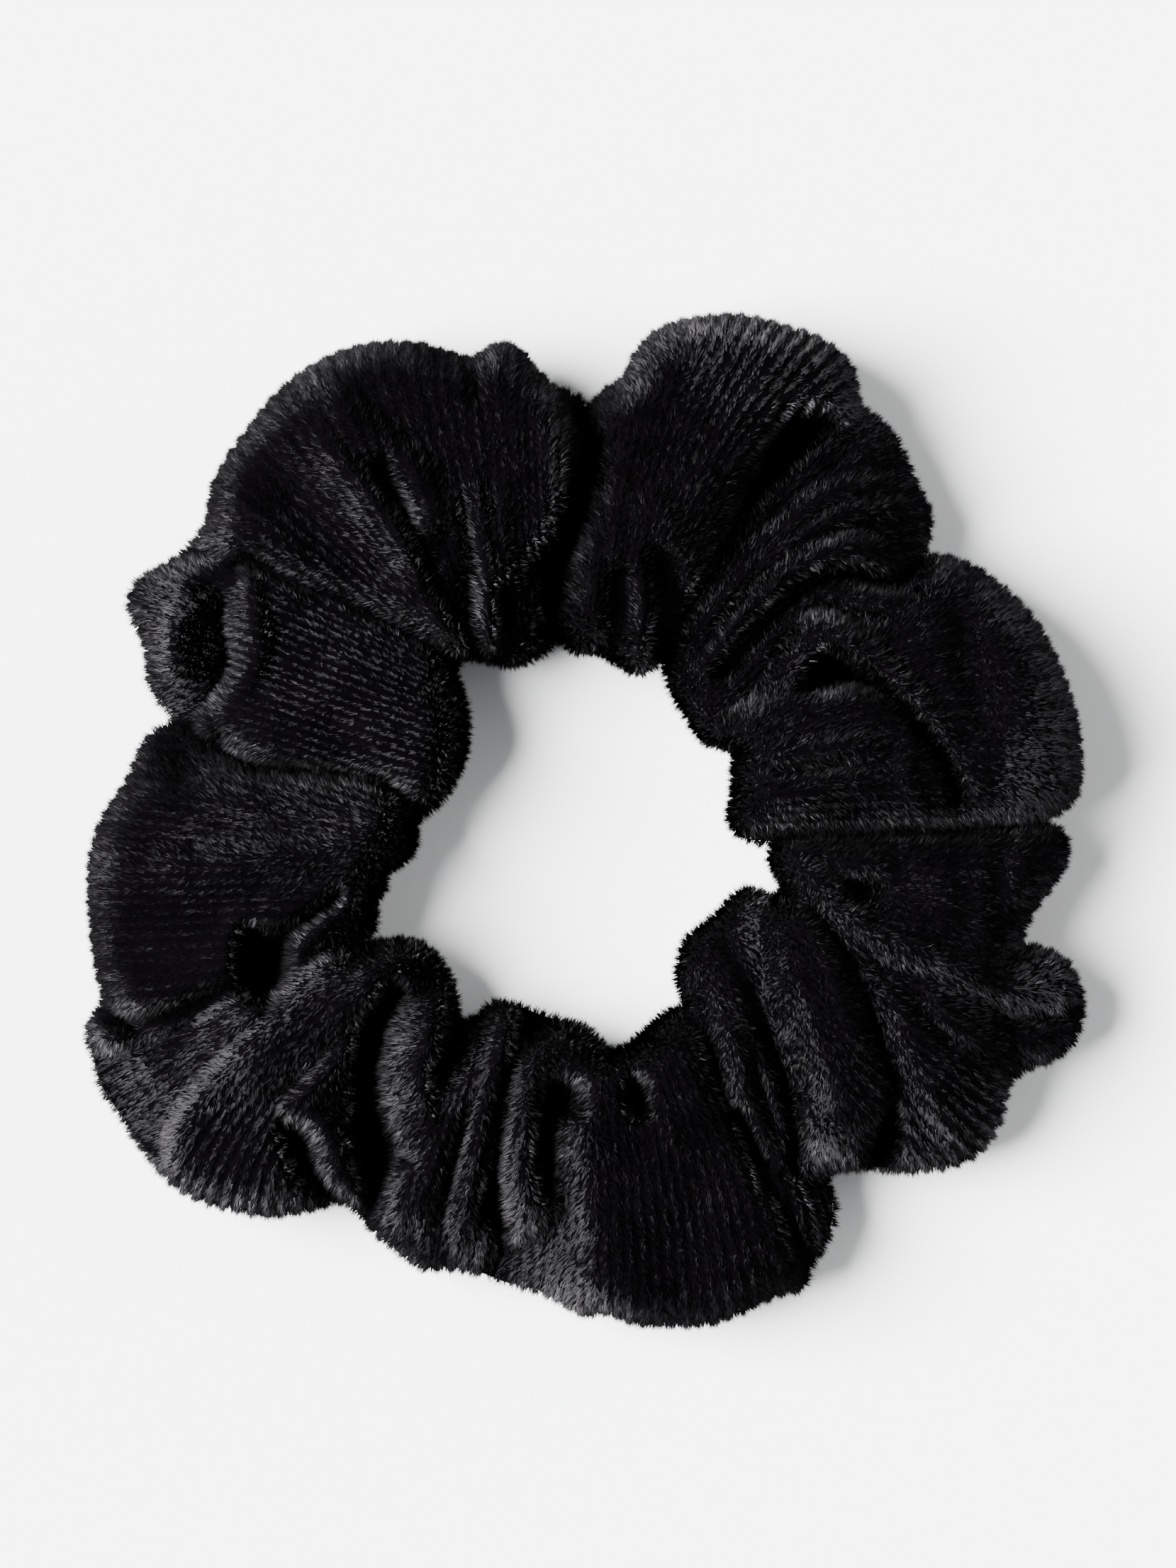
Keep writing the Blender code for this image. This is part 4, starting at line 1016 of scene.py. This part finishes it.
# One material per tone range: lighter and darker copies of the pile, carrying painted light and shade besides
# random tone.
for name, colour, sheen, limit in TONES:
    finish = plain(name, colour, 0.8, 0.0, sheen)
    chosen = np.nonzero((tone >= start) & (tone < limit))[0]
    start = limit
    parts = math.ceil(len(chosen) / MOST_BLADES)
    for k in range(parts):
        some = chosen[k::parts]
        piece = fibre_piece(f"{name}_{k + 1}", root[some], tip[some], facing[some], turned[some], finish)
        follow_stretch(piece)
        pile.append(piece)

# ---------------------------------------------------------------- elastic and threads
finishes = {"braid": plain("braid_black", (0.02, 0.02, 0.022), 0.8, 0.3, 0.3),
            "rubber": plain("rubber_dull", (0.55, 0.42, 0.28), 0.6, 0.4),
            "thread": plain("thread_black", (0.015, 0.015, 0.017), 0.7, 0.4, 0.2)}
ELASTIC_PIECES = {"elastic_braid": "braid", "rubber_thread_1": "rubber", "rubber_thread_2": "rubber",
                  "rubber_thread_3": "rubber", "rubber_thread_4": "rubber", "lap_stitches": "thread"}
BAND_BOTTOM, BAND_TALL = 6.7, 6.6         # where the CAD's elastic lies, mm
CLOSING_SEAM_AT = math.radians(191)
THREAD_HALF = 0.25


def soft_copy(name, kind):
    """A copy of the CAD piece, its triangles merged, in its own finish."""
    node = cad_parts[name]
    made = bpy.data.objects.new(name + "_soft", node.data.copy())
    bpy.context.scene.collection.objects.link(made)
    made.data.transform(node.matrix_world)
    work = bmesh.new()
    work.from_mesh(made.data)
    bmesh.ops.remove_doubles(work, verts=work.verts, dist=1e-6)
    work.to_mesh(made.data)
    work.free()
    made.data.materials.clear()
    made.data.materials.append(finishes[kind])
    return made


def elastic_room(grid):
    """For every 2 degrees round the ring: how far out the elastic moves, and its bottom and top, in mm."""
    top = grid[:, :UPPER_ROWS + 1].reshape(-1, 3)
    angle = np.arctan2(top[:, 1] - RING[1], top[:, 0] - RING[0])
    radius = np.hypot(top[:, 0] - RING[0], top[:, 1] - RING[1])
    room = []
    for k in range(180):
        near = np.abs((angle - k * math.pi / 90 + math.pi) % (2 * math.pi) - math.pi) < math.radians(3)
        best = None
        for out in (0, 1, 2, 3, 4):
            high = top[near & (np.abs(radius - RING_RADIUS - out) < 2.0), 2]
            high = high.min() if len(high) else 0
            if best is None or high > best[1] + 0.5:
                best = (out, high)
            if high > 9.5:
                break
        room.append(best)
    out, high = np.array(room, float).T
    high = np.min([np.roll(high, k) for k in range(-3, 4)], 0)
    for _ in range(8):
        out, high = ((np.roll(v, 1) + 2 * v + np.roll(v, -1)) / 4 for v in (out, high))
    top = np.minimum(13.3, high - 1.3)
    return out, np.maximum(1.9, top - BAND_TALL), top


def press_inside(made, room):
    """Moves the piece's points down and out until they lie inside the sleeve."""
    n = len(made.data.vertices)
    co = np.empty(n * 3, np.float32)
    made.data.vertices.foreach_get("co", co)
    co = co.reshape(-1, 3).astype(float) / MM
    angle = np.arctan2(co[:, 1] - RING[1], co[:, 0] - RING[0]) % (2 * math.pi)
    out, low, high = (np.interp(angle, np.arange(181) * math.pi / 90, np.append(v, v[0])) for v in room)
    radius = np.hypot(co[:, 0] - RING[0], co[:, 1] - RING[1]) + out
    co[:, 0] = RING[0] + radius * np.cos(angle)
    co[:, 1] = RING[1] + radius * np.sin(angle)
    co[:, 2] = low + (co[:, 2] - BAND_BOTTOM) / BAND_TALL * (high - low)
    made.data.vertices.foreach_set("co", (co * MM).astype(np.float32).ravel())
    made.data.update()


def thread_tube(name, path, closed):
    """A round thread along the path (mm)."""
    ahead = np.roll(path, -1, 0) - np.roll(path, 1, 0)
    if not closed:
        ahead[0], ahead[-1] = path[1] - path[0], path[-1] - path[-2]
    ahead = unit(ahead)
    a = unit(np.cross(ahead, (0.31, 0.17, 0.93)))
    b = np.cross(ahead, a)
    turns = np.arange(8) * math.pi / 4
    circle = a[:, None] * np.cos(turns)[None, :, None] + b[:, None] * np.sin(turns)[None, :, None]
    rings = path[:, None] + THREAD_HALF * circle
    index = np.arange(len(path) * 8).reshape(len(path), 8)
    if closed:
        index = np.vstack([index, index[:1]])
    nxt = np.roll(index, -1, 1)
    faces = np.stack([index[:-1], nxt[:-1], nxt[1:], index[1:]], -1).reshape(-1, 4)
    made = mesh_from(name, rings.reshape(-1, 3) * MM, faces)
    made.data.materials.append(finishes["thread"])
    if not closed:
        work = bmesh.new()
        work.from_mesh(made.data)
        bmesh.ops.holes_fill(work, edges=work.edges, sides=8)
        work.to_mesh(made.data)
        work.free()
    return made


def seam_paths(grid, normals):
    """The two seams' threads, run just inside the cloth."""
    long_row = grid.shape[1] - 9
    long_seam = (grid - normals * 1.1)[:-1, long_row]
    for _ in range(6):
        long_seam = (np.roll(long_seam, 1, 0) + 2 * long_seam + np.roll(long_seam, -1, 0)) / 4
    long_seam[:, 2] = np.maximum(long_seam[:, 2], 2.4)
    middle = grid[:, UPPER_ROWS // 2]
    column = int(np.argmin(np.abs((np.arctan2(middle[:, 1] - RING[1], middle[:, 0] - RING[0])
                                   - CLOSING_SEAM_AT + math.pi) % (2 * math.pi) - math.pi)))
    inside_cloth = (grid - normals * 1.2)[column]
    inside_cloth = np.roll(inside_cloth[:-1], -(long_row + 5), 0)[:-10]
    for _ in range(10):
        inside_cloth[1:-1] = (inside_cloth[:-2] + 2 * inside_cloth[1:-1] + inside_cloth[2:]) / 4
    side = unit(grid[column + 1, 40] - grid[column - 1, 40])
    swing = 0.35 * np.sin(np.arange(len(inside_cloth)) * 0.9)
    return long_seam, inside_cloth + swing[:, None] * side


room = elastic_room(grid)
for name, kind in ELASTIC_PIECES.items():
    piece = soft_copy(name, kind)
    press_inside(piece, room)
    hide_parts(name)
    follow_stretch(piece)
SEAMS = zip(("long_seam_thread", "closing_seam_thread"), seam_paths(grid, normals), (True, False))
for name, path, closed in SEAMS:
    piece = thread_tube(name + "_soft", path, closed)
    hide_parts(name)
    follow_stretch(piece)

# ---------------------------------------------------------------- floor, light, camera
FLOOR_HALF = 1.5
floor_mesh = bpy.data.meshes.new("floor")
work = bmesh.new()
bmesh.ops.create_grid(work, x_segments=1, y_segments=1, size=FLOOR_HALF)
work.to_mesh(floor_mesh)
work.free()
floor = bpy.data.objects.new("floor", floor_mesh)
bpy.context.scene.collection.objects.link(floor)
floor.data.materials.append(plain("floor_white", (0.86, 0.865, 0.87), 0.9, 0.1))

world = bpy.data.worlds.new("daylight")
bpy.context.scene.world = world
world.use_nodes = True
world.node_tree.nodes["Background"].inputs["Color"].default_value = (0.96, 0.98, 1.0, 1)
world.node_tree.nodes["Background"].inputs["Strength"].default_value = 0.4


def sun(name, towards, strength, spread):
    data = bpy.data.lights.new(name, "SUN")
    data.energy, data.angle = strength, spread
    made = bpy.data.objects.new(name, data)
    bpy.context.scene.collection.objects.link(made)
    made.rotation_euler = Vector(towards).to_track_quat("-Z", "Y").to_euler()


sun("window", (0.64, -0.05, -0.76), 29.9, 0.72)
sun("far_wall", (-0.85, -0.28, -0.42), 2.4, 1.0)

camera_data = bpy.data.cameras.new("camera")
camera = bpy.data.objects.new("camera", camera_data)
bpy.context.scene.collection.objects.link(camera)
AIM = (0.4 * MM, 3.7 * MM, 12 * MM)       # where the camera looks: the height of the folds' middle
DISTANCE = 1.2
VIEW_TALL = 0.1562                        # what the view takes in from top to bottom, at that height
camera.location = (AIM[0], AIM[1], AIM[2] + DISTANCE)
camera_data.sensor_width = 36
camera_data.lens = camera_data.sensor_width * DISTANCE / VIEW_TALL
camera_data.clip_start, camera_data.clip_end = 0.05, 10
bpy.context.scene.camera = camera
